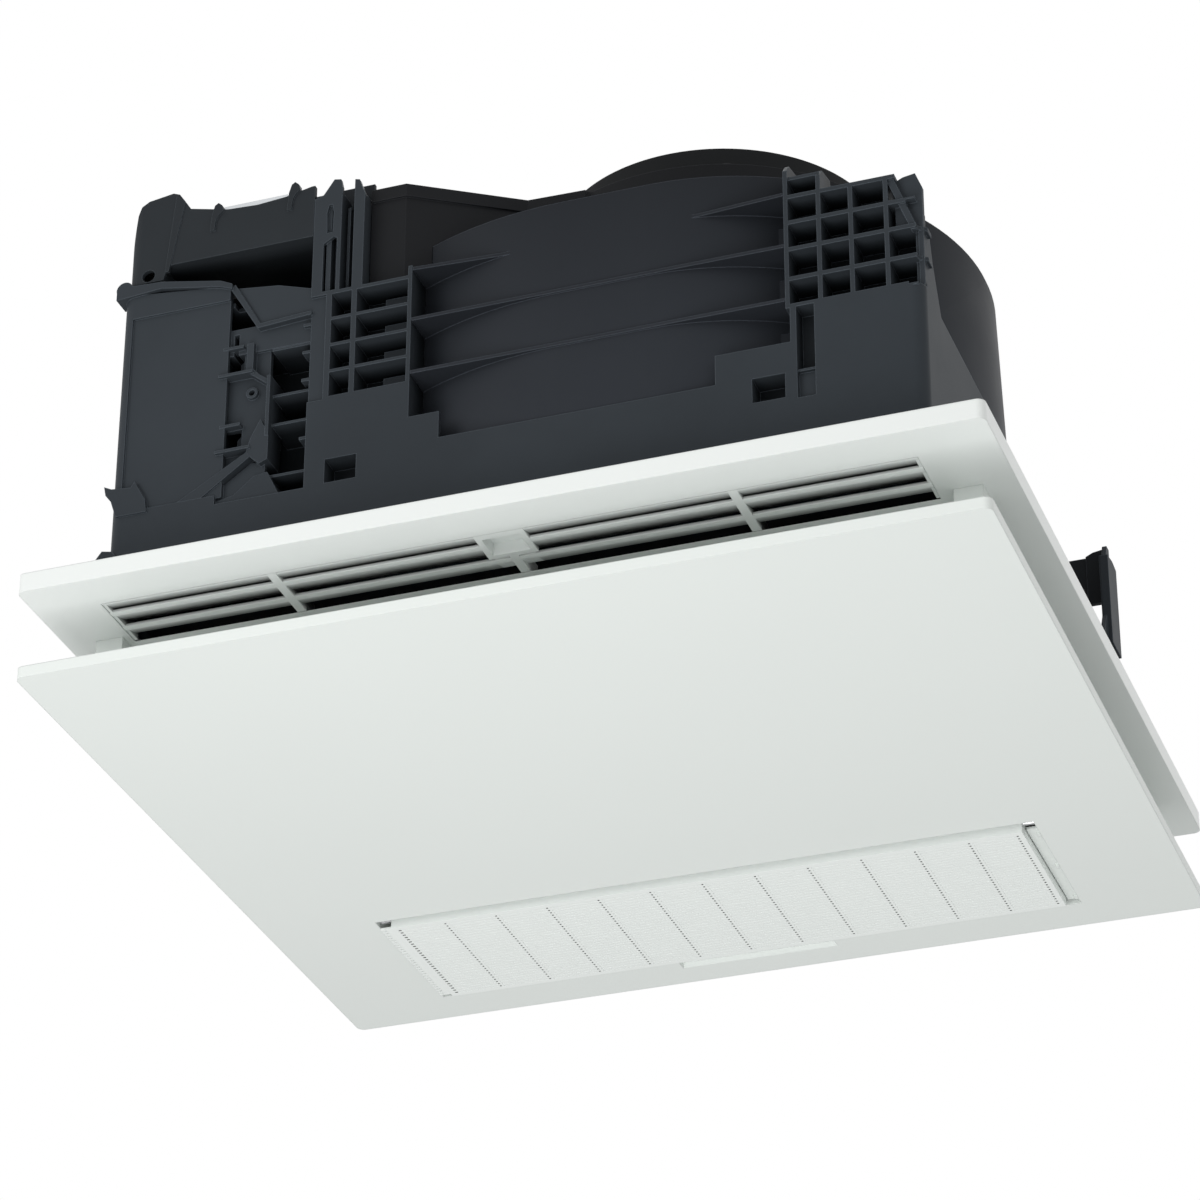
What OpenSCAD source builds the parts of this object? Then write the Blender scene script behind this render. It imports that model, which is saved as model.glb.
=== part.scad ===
// Ceiling mounted fan heater: frame and cover below the ceiling, casing and fans above it.
// Origin: centre of the ceiling opening, in the plane of the ceiling's lower face.
// +X runs along the outlet grille, +Y away from the grille side, +Z up into the ceiling.

/* [Ceiling frame] */
// How far the frame reaches past the casing at each end of the grille
frame_reach_x = 32; // [28:0.5:40]
// How far the frame reaches past the casing on the grille side and the filter side
frame_reach_y = 27; // [25:0.5:36]
// Height of the frame's outer rim
frame_t = 10; // [8:0.5:14]
// Skin of the frame and the cover
skin_t = 2.5; // [2:0.1:3]
// Corner radius of the frame and the cover
corner_r = 4; // [2:0.5:8]
// Rib wall inside the frame
rib_t = 2.4; // [1.5:0.1:3]

/* [Outlet grille] */
// Length of the outlet opening
grille_w = 400; // [360:1:404]
// Depth of the outlet opening
grille_d = 38; // [34:0.5:40]
// How far the outlet opening starts outside the casing's near face
grille_lead = 4; // [3:0.5:5]
// Distance between two slats
slot_pitch = 14.25; // [12:0.25:15]
// Outer radius of a slat's slow bend
slat_r = 88; // [84:2:96]
// Slat wall
slat_t = 1.6; // [1.2:0.1:2.2]
// Slope of a slat beside its lip, in degrees
slat_tilt = 14; // [12:0.5:14.5]
// Width of a mullion
mullion_w = 4.5; // [3:0.5:6]
// Distance between two mullions
mullion_pitch = 113; // [90:1:120]
// Inner width of the finger pocket
pocket_w = 18.4; // [14:0.2:24]
// Inner depth of the finger pocket
pocket_d = 15; // [10:0.5:15]
// Wall round the finger pocket
pocket_rim = 3; // [2:0.5:4]

/* [Cover] */
// How much shorter than the frame the cover is from front to back
cover_short = 6; // [0:0.5:12]
// Edge height of the cover panel
cover_t = 6; // [5:0.5:9]
// Air gap between the frame and the cover
cover_gap = 37.5; // [25:0.5:45]
// Cover centre moved away from the grille side
cover_shift = 1.7; // [0:0.1:4]
// Width of the filter opening
intake_w = 351; // [330:1:356]
// Depth of the filter opening
intake_d = 98; // [90:1:100]
// Centre of the filter opening
intake_y = 139; // [136:1:140]
// Width of a cover post
post_w = 14; // [10:0.5:18]

/* [Filter] */
// Side gap between the filter panel and its opening
filter_side_gap = 7; // [5:0.5:9]
// End gap between the filter panel and its opening
filter_end_gap = 4.5; // [4:0.5:6]
// How far the filter panel stands below the cover
filter_drop = 2.5; // [1:0.5:4]
// Height of the filter panel
filter_h = 12; // [10:0.5:16]
// Distance between two filter columns
column_pitch = 28; // [24:1:40]
// Distance between two filter bars
bar_pitch = 2.9; // [2.6:0.1:5]
// Radius of a filter hinge pin
hinge_pin_r = 1.2; // [1:0.1:1.5]

/* [Casing] */
// Width of the casing in the ceiling opening
body_w = 406; // [400:1:410]
// Depth of the casing in the ceiling opening
body_d = 376; // [372:1:380]
// Casing wall
wall = 2.5; // [2:0.1:3]
// Radius of the casing's upright corners
casing_corner_r = 6; // [4:0.5:8]
// Casing flange that rests on the frame
flange_out = 6; // [5:0.5:7]
// Depth of the outlet throat
throat_d = 34; // [30:0.5:36]
// Height of the intake plenum
plenum_h = 76; // [72:1:80]
// Depth of the grid cells in the near face
cell_depth = 16; // [10:0.5:20]
// Rib thickness of the grids
grid_t = 2.2; // [1.6:0.1:3]
// Distance of the joist screw holes along the side
joist_hole_pitch = 250; // [200:5:280]
// Height of the joist screw holes
joist_hole_z = 30; // [20:1:34]
// Radius of the joist screw holes
joist_hole_r = 2.75; // [2:0.25:3.5]

/* [Fans] */
// Fan axis along X
fan_x = 62; // [58:1:64]
// Fan axis along Y
fan_y = -50; // [-54:1:-46]
// Top of the scroll
scroll_top = 171; // [168:1:176]
// Scroll radius at its top, on the side away from the outlet
scroll_r = 131; // [129:0.5:133]
// Scroll radius on the outlet side, where it is flatter
wing_r = 177; // [174:0.5:181]
// How far the scroll's face lies behind the casing's near face
scroll_inset = 1; // [0.8:0.1:1.6]
// Draft of the scroll wall in degrees
scroll_draft = 1.6; // [0:0.1:2.5]
// Radius of the circulation impeller
impeller_r = 92; // [84:1:96]
// Blade depth of the circulation impeller
impeller_h = 64; // [50:1:66]
// Number of circulation blades
impeller_blades = 36; // [24:1:44]
// Radius of the exhaust impeller
exhaust_r = 70; // [66:1:74]
// Number of exhaust blades
exhaust_blades = 24; // [16:1:30]
// Top of the exhaust casing
exhaust_top = 205; // [203:1:212]
// Radius of the exhaust chamber
exhaust_chamber_r = 101; // [98:1:104]
// Radius of the dome over the exhaust fan
dome_r = 83; // [80:0.5:90]
// Height of the dome above the exhaust casing
dome_h = 22; // [18:1:26]
// Radius of the motor can
motor_r = 38; // [34:0.5:40]
// Radius of the motor shaft
shaft_r = 4; // [3:0.25:5]
// Running clearance at the bearings and pins
run_gap = 0.05; // [0.02:0.01:0.08]

/* [Duct] */
// Outer radius of the duct collar
duct_r = 49; // [40:0.5:49.5]
// Length of the duct collar
duct_len = 44; // [36:1:60]
// Centre of the duct along Y
duct_y = 71; // [68:1:74]
// Centre of the duct in height
duct_z = 149; // [147:1:151]

/* [Hidden] */
$fn = 96;

eps = 0.01;
fit = 0.2;

// places worked out from the driving sizes
frame_w = body_w + 2 * frame_reach_x;
frame_d = body_d + 2 * frame_reach_y;
cover_w = frame_w;
cover_d = frame_d - cover_short;
frame_x = frame_w / 2;
frame_y = frame_d / 2;
skin_z = -frame_t + skin_t;
body_x = body_w / 2;
body_y = body_d / 2;
seat_x = body_x + flange_out;
seat_y = body_y + flange_out + 0.5;
grille_x = -2;
grille_y0 = -body_y - grille_lead;
grille_y1 = grille_y0 + grille_d;
lip_y0 = grille_y0 + 9.5;
cover_z1 = -frame_t - cover_gap;
cover_z0 = cover_z1 - cover_t;
cover_y0 = cover_shift - cover_d / 2;
intake_x = intake_w / 2;
intake_y0 = intake_y - intake_d / 2;
intake_y1 = intake_y + intake_d / 2;
recess_top = -frame_t - 6;
filter_x = intake_x - filter_side_gap;
filter_y0 = intake_y0 + filter_end_gap;
filter_y1 = intake_y1 - filter_end_gap;
filter_z0 = cover_z0 - filter_drop;
hinge_y = filter_y0 + 2.5;
hinge_z = filter_z0 + 6;

near_y = -body_y;
throat_y1 = near_y + wall + throat_d;
throat_top = 48.5;
chamber_x1 = -103;
chamber_y1 = near_y + 168;
chamber_top = 152.5;
floor_t = wall;
deck_z0 = plenum_h;
deck_z1 = plenum_h + wall;
side_wall_top = 84;
side_shift = body_x - 203;
rib_heights = [149, 120, 90];
right_skirt_top = 86;
left_skirt_top = 41.5;

top_plate_z0 = scroll_top - wall;
channel_y0 = near_y + 29;
bay_x0 = -49.5;
bay_x1 = 137;
motor_z0 = 116;
motor_z1 = 160;
impeller_z0 = deck_z1 + 5.5;
impeller_z1 = impeller_z0 + impeller_h;
exhaust_z0 = scroll_top + 5;
exhaust_z1 = exhaust_top - 4;
mount_r = 62;
inlet_r = 58;

box_x0 = -body_x + wall + fit;
box_x1 = -118;
box_y0 = duct_y - duct_r - 12;
box_y1 = duct_y + duct_r + 12;
box_z0 = duct_z - duct_r - 5;
electric_z0 = 180;
electric_y1 = -62;

module box(x0, x1, y0, y1, z0, z1) {
    translate([x0, y0, z0]) cube([x1 - x0, y1 - y0, z1 - z0]);
}

// outline drawn in X and Z, with its thickness along Y
module xz_plate(points, y0, y1) {
    translate([0, y1, 0]) rotate([90, 0, 0]) linear_extrude(y1 - y0) polygon(points);
}

// outline drawn in Y and Z, with its thickness along X
module yz_plate(points, x0, x1) {
    translate([x0, 0, 0]) rotate([90, 0, 90]) linear_extrude(x1 - x0) polygon(points);
}

module round_rect(w, d, r) {
    square([w - 2 * r, d], center = true);
    square([w, d - 2 * r], center = true);
    for (sx = [-1, 1], sy = [-1, 1])
        translate([sx * (w / 2 - r), sy * (d / 2 - r)]) circle(r);
}

module rect_ring(x0, x1, y0, y1, t, z0, z1) {
    difference() {
        box(x0 - t, x1 + t, y0 - t, y1 + t, z0, z1);
        box(x0, x1, y0, y1, z0 - 1, z1 + 1);
    }
}

module tube(r_out, r_in, h) {
    difference() {
        cylinder(r = r_out, h = h);
        translate([0, 0, -1]) cylinder(r = r_in, h = h + 2);
    }
}

module on_fan_axis() { translate([fan_x, fan_y, 0]) children(); }

// ------------ below the ceiling

frame_screw_spots = [[-192, -120], [192, -120], [-192, 150], [192, 150]];
frame_boss_r = 6;
screw_r = 2;

chamfer_d = 5.7;
outlet_rib_y = grille_y1 + 17;

module frame_panel() {
    color([0.93, 0.94, 0.92])
    difference() {
        union() {
            translate([0, 0, -frame_t]) linear_extrude(skin_t) round_rect(frame_w, frame_d, corner_r);
            translate([0, 0, skin_z - eps]) linear_extrude(eps - skin_z) difference() {
                round_rect(frame_w, frame_d, corner_r);
                round_rect(frame_w - 2 * rib_t, frame_d - 2 * rib_t, corner_r - rib_t / 2);
            }
            rect_ring(-seat_x + rib_t, seat_x - rib_t, -seat_y + rib_t, seat_y - rib_t, rib_t,
                skin_z - eps, 0);
            box(-seat_x + eps, seat_x - eps, outlet_rib_y, outlet_rib_y + rib_t, skin_z - eps, 0);
            for (x = [-body_x / 3, 0, body_x / 3])
                box(x - rib_t / 2, x + rib_t / 2, outlet_rib_y + eps, intake_y0 - 4, skin_z - eps, 0);
            rect_ring(-intake_x + 6, intake_x - 6, intake_y0, intake_y1 - 4, rib_t, skin_z - eps, 0);
            for (x = [-frame_x / 2, 0, frame_x / 2], s = [-1, 1])
                box(x - rib_t / 2, x + rib_t / 2, s > 0 ? seat_y - 1 : -frame_y + 1,
                    s > 0 ? frame_y - 1 : -seat_y + 1, skin_z - eps, -2);
            for (y = [-frame_y / 2, 0, frame_y / 2], s = [-1, 1])
                box(s > 0 ? seat_x - 1 : -frame_x + 1, s > 0 ? frame_x - 1 : -seat_x + 1,
                    y - rib_t / 2, y + rib_t / 2, skin_z - eps, -2);
            for (p = frame_screw_spots)
                translate([p[0], p[1], skin_z - eps]) cylinder(r = frame_boss_r, h = -skin_z + eps);
        }
        box(grille_x - grille_w / 2, grille_x + grille_w / 2, grille_y0, grille_y1, -frame_t - 1, 1);
        // the far edge of the outlet is chamfered to a thin lip
        yz_plate([[grille_y1 - 1, -frame_t], [grille_y1, -frame_t], [grille_y1 + chamfer_d, skin_z + eps],
            [grille_y1 - 1, skin_z + eps]], grille_x - grille_w / 2, grille_x + grille_w / 2);
        box(-intake_x + 6, intake_x - 6, intake_y0, intake_y1 - 4, -frame_t - 1, 1);
        for (p = frame_screw_spots)
            translate([p[0], p[1], -frame_t - 1]) cylinder(r = screw_r + 0.25, h = frame_t + 2);
    }
}

slat_steps = 10;
function arc_points(cy, cz, r, a0, a1, n) = [for (i = [0:n])
    [cy + r * cos(a0 + (a1 - a0) * i / n), cz + r * sin(a0 + (a1 - a0) * i / n)]];

// a slat has a flat lip and rises from it in a slow bend over the next slot
function slat_outline(y, lip, run) = let (
    a0 = slat_tilt, a1 = asin(sin(slat_tilt) + run / slat_r),
    cy = y + lip - slat_r * sin(a0), cz = -frame_t + slat_r * cos(a0))
    concat([[y, -frame_t]], arc_points(cy, cz, slat_r, a0 - 90, a1 - 90, slat_steps),
        arc_points(cy, cz, slat_r - slat_t, a1 - 90, a0 - 90, slat_steps), [[y, -frame_t + slat_t]]);

lip_w = 2.5;
slat_run = 19;
last_run = 9;

module outlet_grille() {
    x0 = grille_x - grille_w / 2 + fit;
    x1 = grille_x + grille_w / 2 - fit;
    y0 = grille_y0 + fit;
    y1 = grille_y1 - fit;
    pocket_x0 = grille_x - pocket_w / 2;
    pocket_y0 = grille_y0 + pocket_rim + 1;
    color([0.93, 0.94, 0.92])
    difference() {
        union() {
            yz_plate(slat_outline(y0 + 0.4, 0.1, slat_run), x0, x1);
            yz_plate(slat_outline(lip_y0, lip_w, slat_run), x0, x1);
            yz_plate(slat_outline(lip_y0 + slot_pitch, lip_w, last_run), x0, x1);
            for (i = [-1, 0, 1], x = [grille_x + i * mullion_pitch])
                difference() {
                    union() {
                        box(x - mullion_w / 2, x + mullion_w / 2, y0, y1, -frame_t, -1);
                        box(x - mullion_w / 2, x + mullion_w / 2, y1 - 1, y1 + chamfer_d + 4, skin_z, -1);
                    }
                    box(x - mullion_w, x + mullion_w, y0 - 3, y1 + chamfer_d + 5, -2, 0);
                }
            for (s = [-1, 1], x = [s < 0 ? x0 : x1])
                box(min(x, x - s * 1.6), max(x, x - s * 1.6), y0, y1, -frame_t + 0.4, -2);
            box(pocket_x0 - pocket_rim, pocket_x0 + pocket_w + pocket_rim,
                y0, pocket_y0 + pocket_d + pocket_rim, -frame_t, -1.5);
        }
        box(pocket_x0, pocket_x0 + pocket_w, pocket_y0, pocket_y0 + pocket_d, -frame_t - 1, -3.5);
    }
}

module cover_post(x, y) {
    box(x - post_w / 2, x + post_w / 2, y, y + 12, cover_z0 + skin_t - eps, -frame_t);
}

post_x = cover_w / 2 - 22.5;
post_near_y = -160;
post_far_y = 178;

module cover_panel() {
    lift = cover_z0 + skin_t;
    notch_w = 85;
    notch_d = 8;
    color([0.92, 0.93, 0.92])
    difference() {
        union() {
            translate([0, cover_shift, cover_z0]) linear_extrude(skin_t)
                round_rect(cover_w, cover_d, corner_r);
            translate([0, cover_shift, lift - eps]) linear_extrude(cover_t - skin_t + eps) difference() {
                round_rect(cover_w, cover_d, corner_r);
                round_rect(cover_w - 2 * rib_t, cover_d - 2 * rib_t, corner_r - rib_t / 2);
            }
            rect_ring(-intake_x, intake_x, intake_y0, intake_y1, 2, lift - eps, recess_top);
            // backing of the finger notch
            box(-notch_w / 2 - 2, notch_w / 2 + 2, intake_y1 + 1, intake_y1 + notch_d + 2,
                lift - eps, cover_z1 - 1);
            for (s = [-1, 1])
                box(s > 0 ? intake_x + 1 : -intake_x - 6, s > 0 ? intake_x + 6 : -intake_x - 1,
                    hinge_y - 5, hinge_y + 5, lift - eps, hinge_z + 5);
            for (x = [-cover_w / 4, 0, cover_w / 4])
                box(x - rib_t / 2, x + rib_t / 2, cover_y0 + rib_t - eps, intake_y0 - 1.5,
                    lift - eps, cover_z1);
            for (y = [-cover_d / 4, 0])
                box(-cover_w / 2 + rib_t - eps, cover_w / 2 - rib_t + eps, y - rib_t / 2, y + rib_t / 2,
                    lift - eps, cover_z1);
            for (s = [-1, 1], y = [post_near_y, post_far_y]) cover_post(s * post_x, y);
        }
        box(-intake_x, intake_x, intake_y0, intake_y1, cover_z0 - 1, recess_top + 1);
        // finger notch beside the filter panel
        yz_plate([[intake_y1 - 1, cover_z0 - 1], [intake_y1 + notch_d, cover_z0 - 1],
            [intake_y1 + notch_d, cover_z0], [intake_y1 + notch_d - 1.5, cover_z0 + 2.6],
            [intake_y1 - 1, cover_z0 + 3.2]], -notch_w / 2, notch_w / 2);
        for (s = [-1, 1])
            translate([s * (intake_x + 3), hinge_y, hinge_z]) rotate([0, 90, 0])
                cylinder(r = hinge_pin_r + run_gap, h = 20, center = true);
    }
}

module filter_grille() {
    face_t = 1.6;
    rim_t = 2;
    inner_x0 = -filter_x + rim_t;
    inner_x1 = filter_x - rim_t;
    inner_y0 = filter_y0 + rim_t;
    inner_y1 = filter_y1 - rim_t;
    rows = floor((inner_y1 - inner_y0) / bar_pitch);
    row_y0 = (inner_y0 + inner_y1 - rows * bar_pitch) / 2;
    columns = ceil((inner_x1 - inner_x0) / column_pitch);
    column_x = [for (i = [0:columns]) min(inner_x1, max(inner_x0,
        inner_x0 + column_pitch / 2 + (i - 0.5) * column_pitch))];
    rail = 1.4;
    slit = bar_pitch * 0.45;
    color([0.9, 0.92, 0.89])
    difference() {
        union() {
            translate([0, 0, filter_z0]) linear_extrude(face_t) difference() {
                polygon([[-filter_x, filter_y0], [filter_x, filter_y0], [filter_x, filter_y1],
                    [-filter_x, filter_y1]]);
                for (c = [0:columns - 1], r = [0:rows - 1])
                    translate([column_x[c] + rail / 2, row_y0 + (r + 0.5) * bar_pitch - slit / 2])
                        square([max(1, column_x[c + 1] - column_x[c] - rail), slit]);
            }
            rect_ring(inner_x0, inner_x1, inner_y0, inner_y1, rim_t, filter_z0 + face_t - eps,
                filter_z0 + filter_h);
            for (c = [1:columns - 1])
                box(column_x[c] - rail / 2, column_x[c] + rail / 2, inner_y0 - eps, inner_y1 + eps,
                    filter_z0 + face_t - eps, filter_z0 + face_t + 2);
        }
        for (s = [-1, 1])
            translate([s * filter_x, hinge_y, hinge_z]) rotate([0, 90, 0])
                cylinder(r = hinge_pin_r, h = 5, center = true);
    }
}

module filter_net() {
    net_x = filter_x - 2 - fit;
    net_y0 = filter_y0 + 2 + fit;
    net_y1 = filter_y1 - 2 - fit;
    cells_x = 24;
    cells_y = 10;
    cell_x = (2 * net_x - 4) / cells_x;
    cell_y = (net_y1 - net_y0 - 4) / cells_y;
    color([0.86, 0.88, 0.86])
    translate([0, 0, filter_z0 + 3.6]) linear_extrude(0.8) difference() {
        translate([-net_x, net_y0]) square([2 * net_x, net_y1 - net_y0]);
        for (i = [0:cells_x - 1], j = [0:cells_y - 1])
            translate([-net_x + 2 + i * cell_x + 0.5, net_y0 + 2 + j * cell_y + 0.5])
                square([cell_x - 1, cell_y - 1]);
    }
}

module filter_pins() {
    color([0.75, 0.76, 0.78])
    for (s = [-1, 1])
        translate([s > 0 ? filter_x - 2 : -intake_x - 5.5, hinge_y, hinge_z]) rotate([0, 90, 0])
            cylinder(r = hinge_pin_r, h = intake_x + 5.5 - filter_x + 2);
}

module intake_seal() {
    color([0.2, 0.2, 0.21])
    rect_ring(-intake_x + 1, intake_x - 1, intake_y0 + 1, intake_y1 - 1, 4, recess_top, -frame_t);
}

// ------------ casing above the ceiling

// top edge of the near wall, from left to right
skirt_outline = [[-body_x + casing_corner_r, 0], [-body_x + casing_corner_r, left_skirt_top],
    [-148, left_skirt_top], [-148, 36.5], [-102, 36.5], [-102, 84], [-50, 84], [-50, 65], [-34, 65],
    [-34, 50.5], [102.5, 50.5], [102.5, 66.5], [139, 66.5], [139, right_skirt_top],
    [body_x - casing_corner_r, right_skirt_top], [body_x - casing_corner_r, 0]];

module upright_corner(sx, sy, z1, r) {
    cx = sx * (body_x - r);
    cy = sy * (body_y - r);
    intersection() {
        translate([cx, cy, 0]) tube(r, r - wall, z1);
        box(min(cx, cx + sx * (r + 1)), max(cx, cx + sx * (r + 1)),
            min(cy, cy + sy * (r + 1)), max(cy, cy + sy * (r + 1)), 0, z1);
    }
}

// blind pocket in the near wall, open to the outside
module blind_pocket_shell(x0, x1, z0, z1, depth) {
    box(x0 - 1.6, x1 + 1.6, near_y + eps, near_y + depth + 1.6, z0 - 1.6, z1 + 1.6);
}

module blind_pocket_hollow(x0, x1, z0, z1, depth) {
    box(x0, x1, near_y - 1, near_y + depth, z0, z1);
}

near_pockets = [[-91.5, -75.5, 37, 50], [120.3, 136.1, 37, 50]];
pocket_depth = 12;
slot_x0 = 142;
slot_x1 = 150.6;
slot_z0 = 35.5;

left_rows = [for (i = [0:4]) 84.5 + i * 15];
right_rows = [86, 101, 117.5, 132.5, 147];

module left_grid() {
    top = left_rows[4] + grid_t / 2;
    difference() {
        union() {
            box(-94, -49.5, near_y, near_y + cell_depth + 1.6, 83, top);
            box(-102, -93, near_y + 1.5, near_y + cell_depth + 1.6, 83, 204);
            box(-51.5, -49.5, near_y, near_y + cell_depth + 1.6, 50, 151);
        }
        for (c = [[-91, -80.7], [-78, -51.5]], r = [0:3])
            box(c[0], c[1], near_y - 1, near_y + cell_depth, left_rows[r] + 0.8, left_rows[r + 1] - 0.8);
        box(-99, -95.5, near_y, near_y + 30, 146, 200);
    }
    // raised step in the back of each right-hand cell
    for (r = [0:3])
        box(-66, -51.5, near_y + 8, near_y + cell_depth, left_rows[r] + 0.8, left_rows[r] + 10);
    // small teeth beside the grid
    for (z = [65.4, 98.2, 113.9, 129.6]) box(-106, -101.5, near_y + 1.5, near_y + 9, z - 0.8, z + 0.8);
}

// two gabled plates with a deep gap between them
module left_fins() {
    difference() {
        xz_plate([[-102, 144], [-87.5, 144], [-87.5, 206], [-88.5, 210.5], [-92, 211.2], [-97.5, 203],
            [-102, 201.5]], near_y, near_y + 2);
        // keyhole and the long slot under it
        xz_plate([[-94.8, 180], [-92, 180], [-91.8, 192], [-92.6, 196.5], [-94.2, 196.5], [-95.2, 192]],
            near_y - 1, near_y + 3);
        xz_plate([[-96.5, 146], [-89.5, 146], [-89.5, 176], [-91, 177.5], [-96.5, 174]],
            near_y - 1, near_y + 3);
    }
    xz_plate([[-80.8, 144], [-76, 144], [-75.4, 199], [-78.6, 208.2], [-81, 208.8]], near_y, near_y + 2.5);
    // the plates' webs, the wall behind them and a rib in the gap
    box(-89.5, -87.5, near_y, near_y + 18, 144, 203);
    box(-77.5, -75.5, near_y, near_y + 18, 144, 200);
    box(-81, -79.4, near_y, near_y + 12, 144, 206);
    box(-86.2, -84.8, near_y + 5, near_y + 13, 144, 196);
    box(-94, -92.6, near_y + 7, near_y + 13, 144, 190);
    box(-102, -75.5, near_y + 12, near_y + 14, 144, 212.5);
}

module right_grid() {
    x_bars = [138, 154, 169.5, 186.5, 201.5];
    top = right_rows[4] + grid_t / 2;
    difference() {
        union() {
            box(137, body_x - wall, near_y, near_y + cell_depth + 1.6, right_rows[0] - 1, right_rows[3] + 1);
            box(137, 191, near_y, near_y + cell_depth + 1.6, right_rows[3], top);
        }
        for (c = [0:3], r = [0:3])
            box(x_bars[c] + grid_t / 2, c == 3 ? 199 : x_bars[c + 1] - grid_t / 2,
                near_y - 1, near_y + cell_depth, right_rows[r] + grid_t / 2, right_rows[r + 1] - grid_t / 2);
        // the corner column is open round the corner, between its rows
        for (r = [0:2])
            box(196, body_x + 1, near_y - 1, near_y + 5,
                right_rows[r] + (r == 0 ? 0 : 1.1), right_rows[r + 1] - (r == 2 ? 0 : 1.1));
    }
    // rows that wrap round the corner with a bevel
    for (r = [1, 2])
        translate([0, 0, right_rows[r] - 1.1]) linear_extrude(2.2)
            polygon([[190, near_y], [197, near_y], [204.5, near_y + 6], [204.5, near_y + 12],
                [198, near_y + 12], [190, near_y + 8]]);
    // two walls that climb to the top of the scroll, and the cell between them
    for (p = [[138, 165], [154, 159]])
        yz_plate([[near_y, top - 1], [near_y, p[1] - 3], [near_y + 4, p[1] + 2],
            [near_y + cell_depth + 1.6, p[1] + 5], [near_y + cell_depth + 1.6, top - 1]],
            p[0] - 1, p[0] + grid_t / 2);
    box(137.5, 154.5, near_y + 1, near_y + cell_depth, 157, 158.8);
    box(137.5, 154.5, near_y + cell_depth, near_y + cell_depth + 1.6, top - 1, 160);
    // wedge from the last bar to the corner post
    xz_plate([[186.5, top - 1], [190, top - 1], [200, 119], [200, 116], [198, 116]], near_y + 1, near_y + 4);
}

// corner post on the side wall, with its rounded top and chamfered shoulder
post_outline = [[190, 117], [190, 146], [194, 148], [200, 149], [204, 141], [205.4, 136], [205.4, 88],
    [200.5, 80], [200.5, 117]];

module corner_post(sx, sy) {
    y0 = near_y + (sy < 0 ? 4 : 3);
    mirror([sx < 0 ? 1 : 0, 0, 0]) mirror([0, sy > 0 ? 1 : 0, 0]) {
        if (sy < 0) xz_plate([for (p = post_outline) [min(p[0], 203), p[1]]], y0, y0 + 3);
        else {
            xz_plate(post_outline, y0, y0 + 3);
            box(200.5, 205.4, y0, near_y + 22, side_wall_top - 1, 136);
            yz_plate([[near_y + 7, 135], [near_y + 7, 147], [near_y + 12, 147], [near_y + 22, 122],
                [near_y + 22, 110]], 200.5, 203);
        }
    }
}

// outline of a side wall in Y and Z, with raised ends
side_outline = [[near_y + casing_corner_r, 0], [near_y + casing_corner_r, side_wall_top], [near_y + 8, 120],
    [near_y + 14, 120], [near_y + 18, 107], [near_y + 30, side_wall_top], [-near_y - 30, side_wall_top],
    [-near_y - 18, 107], [-near_y - 14, 120], [-near_y - 8, 120], [-near_y - casing_corner_r, side_wall_top],
    [-near_y - casing_corner_r, 0]];

module left_panel() {
    // panel between the skirt and the bead
    xz_plate([[-body_x + casing_corner_r, left_skirt_top - 1], [-145, left_skirt_top - 1], [-145, 158],
        [-150, 160.5], [-body_x + casing_corner_r, 166]], near_y + 1.2, near_y + 1.2 + wall);
    // band under the bead
    xz_plate([[-body_x + casing_corner_r, 152], [-145, 152], [-145, 158], [-150, 160.5],
        [-body_x + casing_corner_r, 166]], near_y, near_y + 1.3);
    // bead that follows the sloping top edge and stands out at the corner
    xz_plate([[-206, 164], [-182, 166], [-150, 160], [-143.7, 157.4], [-143.7, 160.4], [-150, 163.5],
        [-182, 170], [-203, 171], [-206, 168.5]], near_y - 1.5, near_y + 9);
    translate([-201.8, near_y - 1.5, 169.4]) rotate([-90, 0, 0]) cylinder(r = 4.4, h = 24);
    // sloping rib and the face above it
    xz_plate([[-144.7, 158], [-129.6, 132.4], [-101.5, 134.4], [-101.5, 136.4], [-128.3, 134.8],
        [-142.6, 160.4]], near_y, near_y + 9);
    xz_plate([[-143.7, 159], [-128.3, 133.6], [-101.5, 135.4], [-101.5, 150], [-120, 156]],
        near_y + 1.5, near_y + 1.5 + wall);
}

window_x0 = -147.6;
window_x1 = -102;
window_z0 = 36.5;
window_z1 = 121;
window_depth = 26;

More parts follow.
